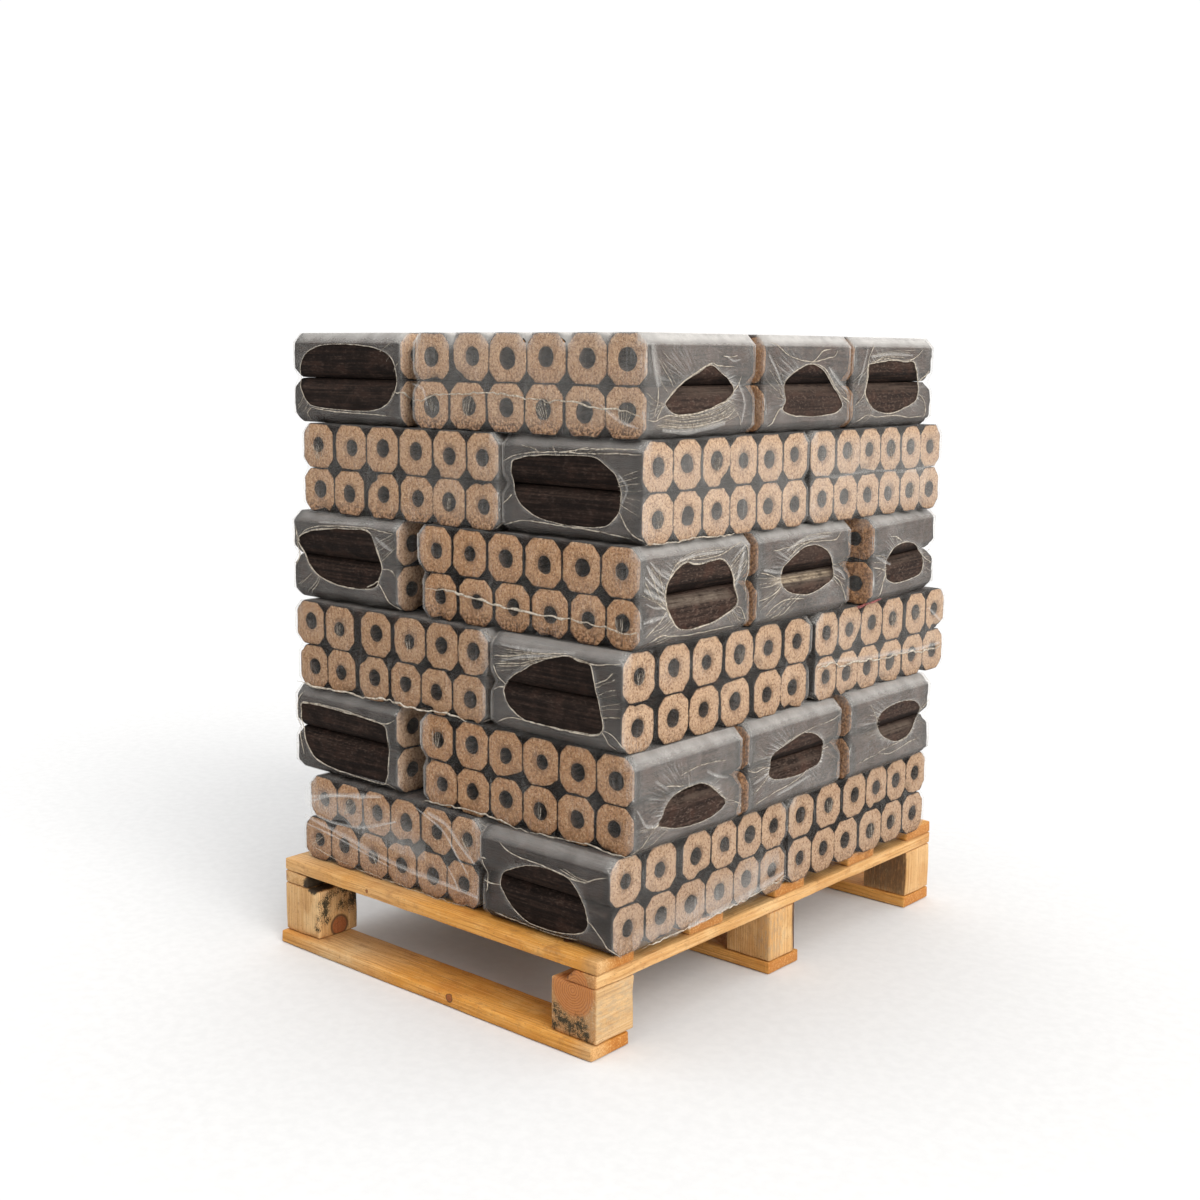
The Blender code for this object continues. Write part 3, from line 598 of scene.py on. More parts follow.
class Shape:
    """Vertices, faces, materials and named values of one piece, gathered before its mesh is made."""

    def __init__(self):
        self.points, self.faces, self.indices = [], [], []
        self.values = {}
        self.count = 0

    def add(self, points, faces, index, **values):
        """Adds points and faces. Each value is a number, or an array with a row for each point."""
        points = np.asarray(points, float).reshape(-1, 3)
        self.points.append(points)
        self.faces.append(np.asarray(faces) + self.count)
        self.indices.append(np.broadcast_to(index, len(faces)))
        for name, value in values.items():
            value = np.asarray(value, float)
            shape = (len(points), 3) if value.shape[-1:] == (3,) else (len(points),)
            self.values.setdefault(name, []).append(np.broadcast_to(value, shape))
        self.count += len(points)

    def make(self, name, materials, place=None):
        """The Blender object."""
        points, faces = np.vstack(self.points), np.vstack(self.faces)
        mesh = bpy.data.meshes.new(name)
        mesh.from_pydata(points.tolist(), [], faces.tolist())
        mesh.polygons.foreach_set("material_index", np.concatenate(self.indices).astype(np.int32))
        mesh.polygons.foreach_set("use_smooth", np.ones(len(faces), bool))
        for key, parts in self.values.items():
            value = np.concatenate(parts)
            kind, field = ("FLOAT_VECTOR", "vector") if value.ndim == 2 else ("FLOAT", "value")
            mesh.attributes.new(key, kind, "POINT").data.foreach_set(field, value.astype(np.float32).ravel())
        for material in materials:
            mesh.materials.append(material)
        mesh.update()
        return put_in_scene(name, mesh, place)


def put_in_scene(name, data, place=None):
    """A new object in the scene, moved to its place if one is given."""
    thing = bpy.data.objects.new(name, data)
    if place:
        thing.matrix_world = place
    bpy.context.collection.objects.link(thing)
    return thing


def facing(x, y, z):
    """The turn that lays an object's own axes along three directions."""
    return Matrix(np.column_stack((x, y, z)).tolist()).to_4x4()


def ring_faces(rings, around, wrap_rings):
    """Quads between successive rings of points, each ring closed."""
    j = np.arange(rings if wrap_rings else rings - 1)[:, None]
    i = np.arange(around)[None, :]
    j2, i2 = (j + 1) % rings, (i + 1) % around
    quads = np.stack((j * around + i, j * around + i2, j2 * around + i2, j2 * around + i), axis=-1)
    return quads.reshape(-1, 4)


# Materials


class Value:
    """A node's output. Arithmetic with it adds Math nodes."""

    def __init__(self, tree, socket):
        self.tree, self.socket = tree, socket

    def __add__(self, other):
        return self.tree.math("ADD", self, other)

    def __mul__(self, other):
        return self.tree.math("MULTIPLY", self, other)

    def most(self, other):
        return self.tree.math("MAXIMUM", self, other)

    def clamped(self):
        """The same, kept from 0 to 1 by the Math node that gives it."""
        self.socket.node.use_clamp = True
        return self

    def ramp(self, start, stop, last=1.0, first=0.0):
        """A smooth way from first, at start, to last, at stop."""
        inputs = {"Value": self, "From Min": start, "From Max": stop, "To Min": first, "To Max": last}
        return self.tree.node("ShaderNodeMapRange", inputs, interpolation_type="SMOOTHSTEP")


class Tree:
    """Short-hand for building a material's nodes."""

    def __init__(self, name):
        self.material = bpy.data.materials.new(name)
        self.material.use_nodes = True
        self.tree = self.material.node_tree
        self.tree.nodes.clear()
        self.shader = self.tree.nodes.new("ShaderNodeBsdfPrincipled")
        output = self.tree.nodes.new("ShaderNodeOutputMaterial")
        self.tree.links.new(self.shader.outputs[0], output.inputs["Surface"])

    def node(self, kind, inputs, result=0, **settings):
        """Adds a node and gives one of its outputs."""
        node = self.tree.nodes.new(kind)
        for key, setting in settings.items():
            setattr(node, key, setting)
        for key, amount in inputs.items():
            self.put(node.inputs[key], amount)
        return Value(self, node.outputs[result])

    def put(self, socket, amount):
        """Links an input to a node's output or sets it to a number or a colour."""
        if isinstance(amount, Value):
            self.tree.links.new(amount.socket, socket)
        elif socket.type == "RGBA":
            socket.default_value = (*amount, 1.0)
        else:
            socket.default_value = amount

    def set(self, **sockets):
        """Sets the Principled shader's sockets; an underscore stands for a space."""
        for key, amount in sockets.items():
            self.put(self.shader.inputs[key.replace("_", " ")], amount)

    def value(self, name):
        return self.node("ShaderNodeAttribute", {}, "Fac", attribute_name=name)

    def vector(self, name):
        return self.node("ShaderNodeAttribute", {}, "Vector", attribute_name=name)

    def math(self, operation, a, b=0.0):
        return self.node("ShaderNodeMath", {0: a, 1: b}, operation=operation)

    def scaled(self, vector, by):
        return self.node("ShaderNodeVectorMath", {0: vector, 1: by}, operation="MULTIPLY")

    def shifted(self, vector, by):
        return self.node("ShaderNodeVectorMath", {0: vector, 1: by}, operation="ADD")

    def length(self, vector, axes=None):
        """The length of a vector, or of what is left of it along some axes."""
        if axes:
            vector = self.scaled(vector, axes)
        return self.node("ShaderNodeVectorMath", {0: vector}, "Value", operation="LENGTH")

    def height(self, vector):
        return self.node("ShaderNodeSeparateXYZ", {0: vector}, 2)

    def noise(self, vector, scale, detail=3.0, rough=0.55):
        """Noise of a scale, or stretched by a scale for each axis."""
        if isinstance(scale, tuple):
            vector, scale = self.scaled(vector, scale), 1.0
        inputs = {"Vector": vector, "Scale": scale, "Detail": detail, "Roughness": rough}
        return self.node("ShaderNodeTexNoise", inputs, "Fac")

    def mix(self, amount, a, b, blend="MIX"):
        return self.node("ShaderNodeMix", {0: amount, 6: a, 7: b}, 2, data_type="RGBA", blend_type=blend)

    def layers(self, body, *layers):
        """Lays colours over a body: for each how much of it, the colour and perhaps how it blends."""
        for amount, colour, *blend in layers:
            body = self.mix(amount, body, colour, *blend)
        return body

    def grey(self, value):
        """A factor as a grey colour."""
        return self.node("ShaderNodeCombineColor", {0: value, 1: value, 2: value})

    def own_place(self):
        """A briquette's coordinates, moved along by its tone, so that no two share a pattern."""
        step = self.value("tone") * 3.0
        return self.shifted(self.vector("core"), self.node("ShaderNodeCombineXYZ", {0: step, 1: step}))

    def finish(self, strength, depth, height, **sockets):
        """Sets the shader's sockets, with bumps that are depth high in metres, and gives the material."""
        inputs = {"Height": height, "Strength": strength, "Distance": depth}
        self.set(Normal=self.node("ShaderNodeBump", inputs), **sockets)
        return self.material


def briquette_end_material():
    """Pressed oak sawdust on a sawn or broken end: tan, speckled, darker and fibrous toward the edge, with
    painted shade by course and in the gaps between packs, and painted light that pales the ends of the packs
    along X.
    """
    t = Tree("briquette_end")
    core, tone, own = t.vector("core"), t.value("tone"), t.own_place()
    coarse = t.noise(own, 110.0)
    speck = t.noise(own, 330.0, rough=0.7)
    flake = t.noise(t.shifted(own, (0.7, 0.3, 0.9)), 260.0, 4.0, 0.75)
    grit = t.noise(own, 900.0, rough=0.7)
    clot = t.noise(t.shifted(own, (0.2, 0.8, 0.5)), 270.0, rough=0.65) + grit * 0.5
    foot = t.height(core).ramp(-0.002, -0.028)
    stain = foot * (coarse + tone * 0.16).ramp(0.36, 0.52) * t.value("stained")
    rim = t.value("margin") + flake.ramp(0.3, 0.7, 0.0020, -0.0020)
    bore_rim = t.length(core, (0.0, 1.0, 1.0)) + flake.ramp(0.25, 0.75, 0.0035, -0.0035)
    broken = t.mix(flake.ramp(0.40, 0.62), (0.14, 0.064, 0.029), (0.52, 0.265, 0.115))
    body = t.layers(
        t.mix(coarse.ramp(0.3, 0.72), (0.39, 0.215, 0.105), (0.52, 0.325, 0.185)),
        (tone.ramp(0.0, 1.0, 0.5), (0.50, 0.32, 0.19)),
        # The ends of the packs along X are painted paler: painted light.
        (t.value("soot") * 0.32, (0.66, 0.51, 0.37)),
        (t.value("warm"), (1.0, 0.86, 0.72), "MULTIPLY"),
        (speck.ramp(0.50, 0.59, 0.78), (0.20, 0.096, 0.045)),
        (flake.ramp(0.53, 0.62, 0.66), (0.69, 0.475, 0.29)),
        (grit.ramp(0.55, 0.63, 0.75), (0.13, 0.062, 0.032)),
        (stain * 0.35, (0.36, 0.170, 0.066)),
        (stain * clot.ramp(0.79, 0.71, 0.95), (0.060, 0.026, 0.014)),
        # painted shade over the ends, by course and in the gaps between packs
        (t.value("shade"), (0.115, 0.060, 0.034)),
        (rim.ramp(0.0024, 0.0002, 0.78), (0.13, 0.062, 0.030)),
        (bore_rim.ramp(0.0175, 0.0110, 0.62), (0.16, 0.085, 0.045)),
        (t.value("inner") * coarse.ramp(0.25, 0.6, 0.95, 0.5), broken))
    height = speck + flake * 0.8
    return t.finish(1.0, 0.0016, height, Base_Color=body, Roughness=0.92, Specular_IOR_Level=0.15)


def briquette_side_material():
    """The scorched sides: nearly black brown with streaks along the length, pale from scraping in places,
    with painted shade on the lower chamfers and over the packs along X, and painted light on some upward
    chamfers.
    """
    t = Tree("briquette_side")
    core, scrape, own = t.vector("core"), t.value("scrape"), t.own_place()
    streak = t.noise(own, (9.0, 260.0, 260.0), 4.0, 0.62)
    patch = t.noise(own, 45.0)
    crumb = t.noise(own, (160.0, 380.0, 380.0), 4.0, 0.72)
    level, from_middle = t.height(core), t.length(core, (1.0, 0.0, 0.0))
    # Painted shade: darker on the lower chamfers and the bottoms, and over the sides of the packs along X,
    # less toward their tops.
    soot = (t.value("soot") * level.ramp(0.014, 0.020, 0.50, 0.80)).most(level.ramp(-0.015, -0.022) * 0.80)
    soot = (soot * (streak + patch * 0.5).ramp(0.62, 0.88, 0.66, 1.12)).clamped()
    rubbed = (streak + crumb * 0.5).ramp(0.66, 0.82)
    # The pale upward chamfers: scraping, and painted light.
    worn = scrape.ramp(0.0, 0.5) * from_middle.ramp(0.085, 0.055)
    worn = worn * (rubbed * 0.55 + patch.ramp(0.35, 0.60, 0.42, 0.02))
    bare = t.layers(
        t.mix(scrape.ramp(0.5, 1.0), (0.165, 0.132, 0.103), (0.42, 0.335, 0.235)),
        (crumb.ramp(0.46, 0.60, 0.75), (0.070, 0.048, 0.037)))
    body = t.layers(
        t.mix(streak.ramp(0.32, 0.70), (0.009, 0.0050, 0.0038), (0.054, 0.034, 0.026)),
        (patch.ramp(0.45, 0.70, 0.6), (0.060, 0.029, 0.020)),
        (crumb.ramp(0.52, 0.62, 0.65), (0.120, 0.082, 0.064)),
        (t.value("tone").ramp(0.2, 1.0, 0.2), (0.075, 0.054, 0.045)),
        (soot.most(from_middle.ramp(0.088, 0.102, 0.92)), (0.006, 0.003, 0.002)),
        (worn, bare))
    height = streak + crumb * 0.9
    rough = streak.ramp(0.3, 0.7, 0.9, 0.70)
    return t.finish(0.9, 0.0014, height, Base_Color=body, Roughness=rough, Specular_IOR_Level=0.10)


def briquette_bore_material():
    """The wall of the bore, charred dark."""
    t = Tree("briquette_bore")
    char = t.noise(t.own_place(), (60.0, 220.0, 220.0))
    body = t.mix(char.ramp(0.3, 0.7), (0.022, 0.017, 0.014), (0.078, 0.056, 0.044))
    return t.finish(0.7, 0.001, char, Base_Color=body, Roughness=0.85, Specular_IOR_Level=0.15)


def film_material():
    """Clear shrink film gone hazy, drawn into fine wrinkles toward its openings, with fine upright streaks
    over the ends as painted glints.
    """
    t = Tree("shrink_film")
    crimp, place = t.value("crimp"), t.vector("place")
    pulled = t.noise(t.vector("stretch"), (120.0, 5.0, 1.0), 2.5)
    # Fine upright streaks over the ends: painted glints.
    drawn = t.noise(place, (210.0, 210.0, 9.0), 2.5)
    cloud = t.noise(place, 30.0, rough=0.6)
    bundle = t.noise(t.shifted(place, (0.4, 0.2, 0.6)), 21.0, 2.0, 0.6)
    crease = t.mix(t.value("cap"), t.grey(drawn), t.grey(pulled))
    off_middle = t.math("ABSOLUTE", t.math("SUBTRACT", crease, 0.5))
    line = t.math("SUBTRACT", 1.0, off_middle * 2.0).ramp(0.93, 0.995)
    milk = t.value("haze") * cloud.ramp(0.25, 0.8, 1.22, 0.80)
    shown = (milk + line * (bundle.ramp(0.44, 0.62) * crimp)).clamped()
    body = t.mix(line, (0.82, 0.79, 0.75), (0.92, 0.89, 0.84))
    height = crease * crimp.ramp(0.0, 0.16, 1.0, 0.12)
    return t.finish(0.6, 0.0012, height, Base_Color=body, Alpha=shown, Roughness=0.28, IOR=1.5)


def film_edge_material():
    """Film rolled up on itself at the openings, along creases and in the seam: thick, milky and beige."""
    t = Tree("film_edge")
    twist = t.noise(t.vector("place"), (260.0, 260.0, 260.0), 4.0, 0.65)
    body = t.mix(twist.ramp(0.3, 0.7), (0.34, 0.27, 0.195), (0.72, 0.65, 0.54))
    body = t.mix(t.value("red"), body, (0.28, 0.020, 0.018))
    shown = (t.value("haze") * twist.ramp(0.28, 0.62, 1.0, 0.55)).clamped()
    return t.finish(0.6, 0.0008, twist, Base_Color=body, Alpha=shown, Roughness=0.34)


def timber_material():
    """Rough-sawn pine: growth rings through the whole piece, knots, wane, saw marks, specks of mould, and
    painted shadow in the void beside the left stringer.
    """
    t = Tree("pallet_timber")
    grain, knot, tone = t.vector("grain"), t.vector("knot"), t.value("tone")
    bark, mould = t.value("bark"), t.value("mould")

    def fibre(along, across, detail=3.0, rough=0.55):
        """Noise with one scale along the grain and another across it."""
        return t.noise(grain, (along, across, across), detail, rough)

    def toned(orange, pale):
        """A colour that follows the timber's tone."""
        return t.mix(tone, orange, pale)

    knot_reach = t.length(knot)
    from_pith = t.length(grain, (0.0, 1.0, 1.0)) + fibre(3.0, 14.0, 2.0) * 0.016
    from_pith = from_pith + fibre(20.0, 90.0, 2.0) * 0.0045 + knot_reach.ramp(0.045, 0.008) * 0.010
    ring = t.math("FRACT", from_pith * 290.0)
    late = ring.ramp(0.45, 0.92) * ring.ramp(1.0, 0.93)
    streak = fibre(9.0, 420.0, 4.0, 0.62)
    patch = fibre(9.0, 30.0)
    saw = fibre(620.0, 60.0, 2.0)
    blotch = fibre(14.0, 22.0, rough=0.6)
    grime = fibre(26.0, 34.0, 4.0, 0.7)
    fleck = fibre(240.0, 520.0, rough=0.7)
    flake = fibre(60.0, 260.0, 4.0, 0.7)
    speck = fibre(520.0, 900.0, rough=0.8)
    scuff = fibre(70.0, 240.0, 4.0, 0.7)
    heart = t.value("heart") + fleck.ramp(0.3, 0.7, 0.05, -0.05)
    # Painted shadow, near black, on the hollow spots in the void beside the left stringer.
    hollow = t.value("hollow") + fleck.ramp(0.3, 0.7, 0.1, -0.1)
    grown = speck + fibre(70.0, 150.0, 2.0) * 0.7 + mould * 0.32
    mild = patch.ramp(0.3, 0.7)
    orange = t.mix(mild, (0.62, 0.255, 0.028), (0.74, 0.350, 0.062))
    pale = t.mix(mild, (0.54, 0.335, 0.150), (0.66, 0.44, 0.225))
    heartwood = t.mix(late * 0.75, (0.50, 0.190, 0.052), (0.24, 0.062, 0.016))
    knot_rings = t.noise(knot, (900.0, 900.0, 900.0), 2.0)
    knot_wood = t.mix(knot_rings.ramp(0.3, 0.7), (0.17, 0.040, 0.012), (0.36, 0.105, 0.030))
    knot_edge = knot_reach.ramp(0.0150, 0.0122) * knot_reach.ramp(0.0095, 0.0118)
    rind = t.mix(flake.ramp(0.45, 0.72), (0.050, 0.022, 0.010), (0.26, 0.115, 0.042))
    late_share = late * tone.ramp(0.70, 1.0, 0.4, 1.0) * patch.ramp(0.3, 0.7, 0.60, 0.10)
    body = t.layers(
        toned(orange, pale),
        (blotch.ramp(0.52, 0.72, 0.6), toned((0.50, 0.165, 0.014), (0.50, 0.270, 0.095))),
        (blotch.ramp(0.46, 0.30, 0.5), toned((0.82, 0.480, 0.150), (0.76, 0.570, 0.330))),
        (late_share, toned((0.40, 0.130, 0.014), (0.36, 0.190, 0.075))),
        (t.value("cut") * 0.8, toned((0.40, 0.128, 0.016), (0.42, 0.210, 0.075))),
        (streak.ramp(0.52, 0.68, 0.50), toned((0.36, 0.125, 0.018), (0.30, 0.165, 0.07))),
        (streak.ramp(0.47, 0.36, 0.45), toned((0.80, 0.44, 0.13), (0.74, 0.55, 0.33))),
        (grime.ramp(0.56, 0.74, 0.5), (0.26, 0.11, 0.035)),
        (fleck.ramp(0.58, 0.70, 0.62), (0.17, 0.075, 0.028)),
        (heart.ramp(0.20, 0.40, 0.9), heartwood),
        (knot_reach.ramp(0.0135, 0.0095, 0.9), knot_wood),
        (knot_edge * 0.85, (0.07, 0.028, 0.012)),
        (bark * flake.ramp(0.2, 0.42), rind),
        (mould.ramp(0.0, 0.6) * speck.ramp(0.40, 0.62, 0.55, 0.05), (0.24, 0.125, 0.052)),
        (mould.ramp(0.0, 0.3) * grown.ramp(1.01, 1.11, 0.94), (0.020, 0.021, 0.011)),
        # painted shadow in the hollow beside the left stringer
        (hollow.ramp(0.15, 0.4, 0.95), (0.014, 0.011, 0.006)),
        (t.value("scuffs").ramp(0.0, 0.7) * scuff.ramp(0.42, 0.62, 0.5), (0.35, 0.275, 0.185)))
    height = saw * 0.6 + (streak + flake * bark * 3.0)
    rough = streak.ramp(0.3, 0.7, 0.82, 0.62)
    return t.finish(0.8, 0.0012, height, Base_Color=body, Roughness=rough, Specular_IOR_Level=0.3)


def floor_material():
    """A plain pale floor."""
    t = Tree("pale_floor")
    grit = t.noise(t.node("ShaderNodeTexCoord", {}, "Object"), 60.0)
    t.set(Base_Color=t.mix(grit.ramp(0.3, 0.7), (0.67, 0.67, 0.67), (0.70, 0.70, 0.70)), Roughness=0.9)
    return t.material


# The packs


class Pack:
    """One pack's place. Its own axes are U along the briquettes, W across them and Z up from underneath."""

    def __init__(self, node):
        self.node, self.facts = node, PACKS.get(node, {})
        words = node.split("_")
        self.course, right, place = int(words[1]), words[3] == "right", PLACES.index(words[4])
        self.column = right == (self.course % 2 == 0)
        self.looks = COLUMN_LOOKS if self.column else ROW_LOOKS
        self.uppermost = self.course == COURSES
        self.inner = self.column and place > 0
        self.seed = self.course * 31 + right * 7 + place + 1
        self.random = np.random.default_rng(self.seed)
        low, high = (corner.copy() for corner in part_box(node))
        self.trim, far_trim = (trim * MM for trim in self.facts.get("trim", (0, 0)))
        low.y += self.trim
        high.y -= far_trim
        turn = math.radians(self.facts.get("turn", 0.0))
        cosine, sine = math.cos(turn), abs(math.sin(turn))
        spread = cosine**2 - sine**2
        wide, deep = high.x - low.x, high.y - low.y
        along_x = (wide * cosine - deep * sine) / spread
        along_y = (deep * cosine - wide * sine) / spread
        self.long, self.wide = (along_y, along_x) if self.column else (along_x, along_y)
        self.high = high.z - low.z
        middle = (low + high) / 2
        heading = turn + (math.pi / 2 if self.column else 0.0)
        self.matrix = Matrix.Translation((middle.x, middle.y, low.z)) @ Matrix.Rotation(heading, 4, "Z")
        self.rows = self.row_middles()

    def row_middles(self):
        """W of the six briquettes in the lower and the upper row."""
        if "rows" in self.facts:
            upper, lower = (np.array(row) * MM for row in self.facts["rows"])
            if self.column:
                return [np.sort(self.wide / 2 - row) for row in (lower, upper)]
            return [row - self.wide / 2 for row in (lower, upper)]
        even = (np.arange(PACK_COLUMNS) + 0.5) / PACK_COLUMNS * self.wide - self.wide / 2
        return [even + self.random.uniform(-ROWS_VARY, ROWS_VARY, PACK_COLUMNS) for _ in range(2)]

    def spans(self, row):
        """Lowest and highest W of each briquette in a row; none meets its neighbour or leaves the pack."""
        middles = self.rows[row]
        between = (middles[1:] + middles[:-1]) / 2
        edge = self.wide / 2 - OUTER_CLEAR
        reach = BRIQUETTE_REACH if "rows" in self.facts else self.wide / PACK_COLUMNS / 2
        if "reach" in self.facts:
            reach = self.facts["reach"] * MM
        low = np.maximum(middles - reach, np.append(-edge, between + COLUMN_CLEAR))
        high = np.minimum(middles + reach, np.append(between - COLUMN_CLEAR, edge))
        return low, high

    def gaps(self, row):
        """W of the gaps between the briquettes of a row."""
        low, high = self.spans(row)
        return (high[:-1] + low[1:]) / 2

    def reach(self, side, high):
        """How far the briquettes of the rows reach toward a side at a height."""
        ends = [side * self.spans(row)[side > 0][-1 if side > 0 else 0] + OUTER_CLEAR for row in (0, 1)]
        share = np.clip((high / self.high - 0.5) / 0.3 + 0.5, 0, 1)
        return ends[0] + (ends[1] - ends[0]) * share

    def reach_at(self, w, high):
        """The same toward the side that each W is on."""
        return np.where(w > 0, self.reach(1, high), self.reach(-1, high))

    def past_chamfer(self, high):
        """How far a height is into the lower or the upper chamfer of the outermost briquettes."""
        return np.maximum(0, np.maximum(CHAMFER - high, high - (self.high - CHAMFER)))

    def shown_end(self):
        """-1 or 1 for the end that the rows and seams were read from."""
        return -1 if self.column else 1

    def over_side(self, run, step, side=-1):
        """A smooth path over the film of a side, from a run in millimetres, and the way out of the film."""
        along, high = spline(run, step).T * MM
        u = -side * (along - self.trim - self.long / 2)
        if "trim" in self.facts:
            u = np.clip(u, -self.long / 2, self.long / 2)
        near_end = bell(self.long / 2 - np.abs(u), 0.014)
        dip = bell(high - self.high / 2, 0.009) * (WAIST_SIDE + 0.0035 * near_end)
        w = side * (self.reach(side, high) + SIDE_MARKS_OFF - self.past_chamfer(high) - dip)
        return np.column_stack((u, w, high)), np.tile((0.0, float(side), 0.0), (len(u), 1))

    def over_end(self, run, step):
        """The same over the end that shows."""
        along, high = spline(run, step).T * MM
        end = self.shown_end()
        u = np.full(len(along), end * (self.long / 2 + END_MARKS_OFF))
        out = np.tile((float(end), 0.0, 0.0), (len(u), 1))
        return np.column_stack((u, end * (along - self.wide / 2), high)), out


def octagon_angles():
    """Angles round a briquette, close on both sides of each of its eight corners."""
    first = math.atan2(BRIQUETTE_REACH - CHAMFER, BRIQUETTE_REACH)
    corners = [q * math.pi / 2 + a for q in range(4) for a in (first, math.pi / 2 - first)]
    angles = []
    for here, after in zip(corners, corners[1:] + [corners[0] + TURN]):
        angles += [here - 0.055, here + 0.055, here + (after - here) * 0.36, here + (after - here) * 0.64]
    return np.array(angles)


ANGLES = octagon_angles()
AROUND = len(ANGLES)
DIRECTION = np.column_stack((np.cos(ANGLES), np.sin(ANGLES)))


def bell_round(bearing, width):
    """The bell of each angle's distance from a bearing."""
    return bell(np.angle(np.exp(1j * (ANGLES - bearing))), width)


def octagon_reach(angles, half_wide, half_high):
    """How far the rounded octagon reaches at each angle."""
    cosine, sine = np.abs(np.cos(angles)), np.abs(np.sin(angles))
    slope = half_wide + half_high - CHAMFER * 0.98
    sides = (cosine / half_wide, sine / half_high, (cosine + sine) / slope)
    return sum(side**ROUNDING for side in sides) ** (-1 / ROUNDING)


def briquette(shape, pack, row, low, high, tone, scraped_and_painted_light):
    """Adds one hollow briquette to the shape."""
    random, facts, looks = pack.random, pack.facts, pack.looks

    def uneven(level, size, seed):
        """Noise round the briquette, another at each level."""
        return noise(np.column_stack((DIRECTION, np.full(AROUND, level))), size, pack.seed + seed)

    half = np.array(((high - low) / 2, pack.high / 4 - ROW_CLEAR))
    middle = ((low + high) / 2, pack.high * (0.25 + 0.5 * row))
    outer = DIRECTION * octagon_reach(ANGLES - random.uniform(-0.02, 0.02), *half)[:, None]
    outer = outer * (1 - SIDES_SWELL * np.clip(uneven(tone * 60, 0.5, 8), 0, 1))[:, None]
    outer = np.clip(outer, -half, half)
    radius = BORE + facts.get("bore", 0.0) * MM + random.uniform(-BORE_VARIES, BORE_VARIES)
    bore_middle = random.uniform(-BORE_OFF, BORE_OFF, 2)
    bore = bore_middle + DIRECTION * (radius * (1 + BORE_SWELLS * uneven(tone * 40, 0.55, 0)))[:, None]
    rings, margins = [], []
    for end in (1, -1):
        short = random.uniform(0.0, SHORTER)
        chip_at = (1.5 if random.random() < 0.75 else 0.5) * math.pi + random.uniform(-0.9, 0.9)
        chip = random.uniform(*CHIP) * (random.random() < (BACK_CHIP_OFTEN if pack.inner else CHIP_OFTEN))
        chipped = chip * bell_round(chip_at, random.uniform(*CHIP_WIDE))
        torn = random.uniform(*TEAR) * (random.random() < TEAR_OFTEN)
        tear = torn * bell_round(random.uniform(0, TURN), TEAR_WIDE)
        end_rings, end_margins = [], []
        for inset, toward, back in RINGS:
            crumb = uneven(tone * 90 + end * 3 + inset * 900, 0.16, 5)
            depth, lower = np.full(AROUND, inset), np.full(AROUND, back)
            if back < AT_END and toward == 0:
                depth += CRUMBS * crumb + 0.0001 + BACK_RAGGED * pack.inner * (crumb + 1) + chipped
                lower += RAGGED * (crumb + 1) + chipped * CHIP_LOWER
            elif back < AT_END:
                depth -= tear * (toward == 1)
                lower += CRUMBS * (crumb + 1)
            ring = outer * (1 - toward) + bore * toward - DIRECTION * depth[:, None]
            end_rings.append(np.column_stack((end * (pack.long / 2 - OUTER_CLEAR - short - lower), ring)))
            on_face = inset > 0.001 or toward > 0
            end_margins.append(np.linalg.norm(outer - ring, axis=1) if on_face else np.full(AROUND, inset))
        rings += end_rings[::end]
        margins += end_margins[::end]
    core = np.vstack(rings)
    on_chamfer = np.clip(1.25 - np.abs(np.abs(DIRECTION[:, 0]) - np.abs(DIRECTION[:, 1])) / 0.42, 0, 1)
    scrape = np.tile(on_chamfer * (DIRECTION[:, 1] > 0) * scraped_and_painted_light, len(rings))
    # Painted shade over the ends: by course, more on the lower row of some packs, and on the ends in the gaps
    # between packs.
    shade = looks["painted_shades"][pack.course - 1] + facts.get("lower_painted_shade", 0.0) * (row == 0)
    # The packs along X get painted shade on their sides, and paler ends as painted light.
    shape.add(
        core + (0.0, *middle), ring_faces(len(rings), AROUND, True), np.repeat(RING_SLOTS, AROUND),
        core=core, tone=tone, scrape=scrape, margin=np.concatenate(margins),
        inner=(0.25 if pack.uppermost else 1.0) * pack.inner,
        shade=shade + BACK_PAINTED_SHADE * (pack.inner and not pack.uppermost),
        stained=facts.get("stain", STAIN) * (1.0 if row == 0 else UPPER_ROW_STAIN),
        warm=max(looks["warmths"][pack.course - 1], BACK_WARMTH * pack.inner), soot=float(not pack.column))


def make_briquettes(pack, materials):
    """The twelve briquettes of a pack as one piece."""
    shape = Shape()
    for row in (0, 1):
        for n, (low, high) in enumerate(zip(*pack.spans(row))):
            nearest = row == 0 and n in (0, PACK_COLUMNS - 1)
            # Unless given for the pack, the packs along Y get a pale upward chamfer here: painted light.
            scraped_and_painted_light = pack.facts.get("scraped_and_painted_light", 0.2 * pack.column) if nearest else 0.0
            briquette(shape, pack, row, low, high, pack.random.random(), scraped_and_painted_light)
    piece = shape.make(pack.node + "_briquettes", materials, pack.matrix)
    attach(piece, "root")
    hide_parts(pack.node)


def sleeve_loop():
    """Points round the sleeve: U from -1 to 1 and height from 0 to 1."""
    up = np.arange(END_STEPS) / END_STEPS
    rise = (1 - np.cos(up * math.pi)) / 4 + up / 2
    cross = np.arange(FLAT_STEPS) / FLAT_STEPS
    u = np.concatenate((np.ones(END_STEPS), 1 - 2 * cross, -np.ones(END_STEPS), -1 + 2 * cross))
    z = np.concatenate((rise, np.ones(FLAT_STEPS), 1 - rise, np.zeros(FLAT_STEPS)))
    return u, z


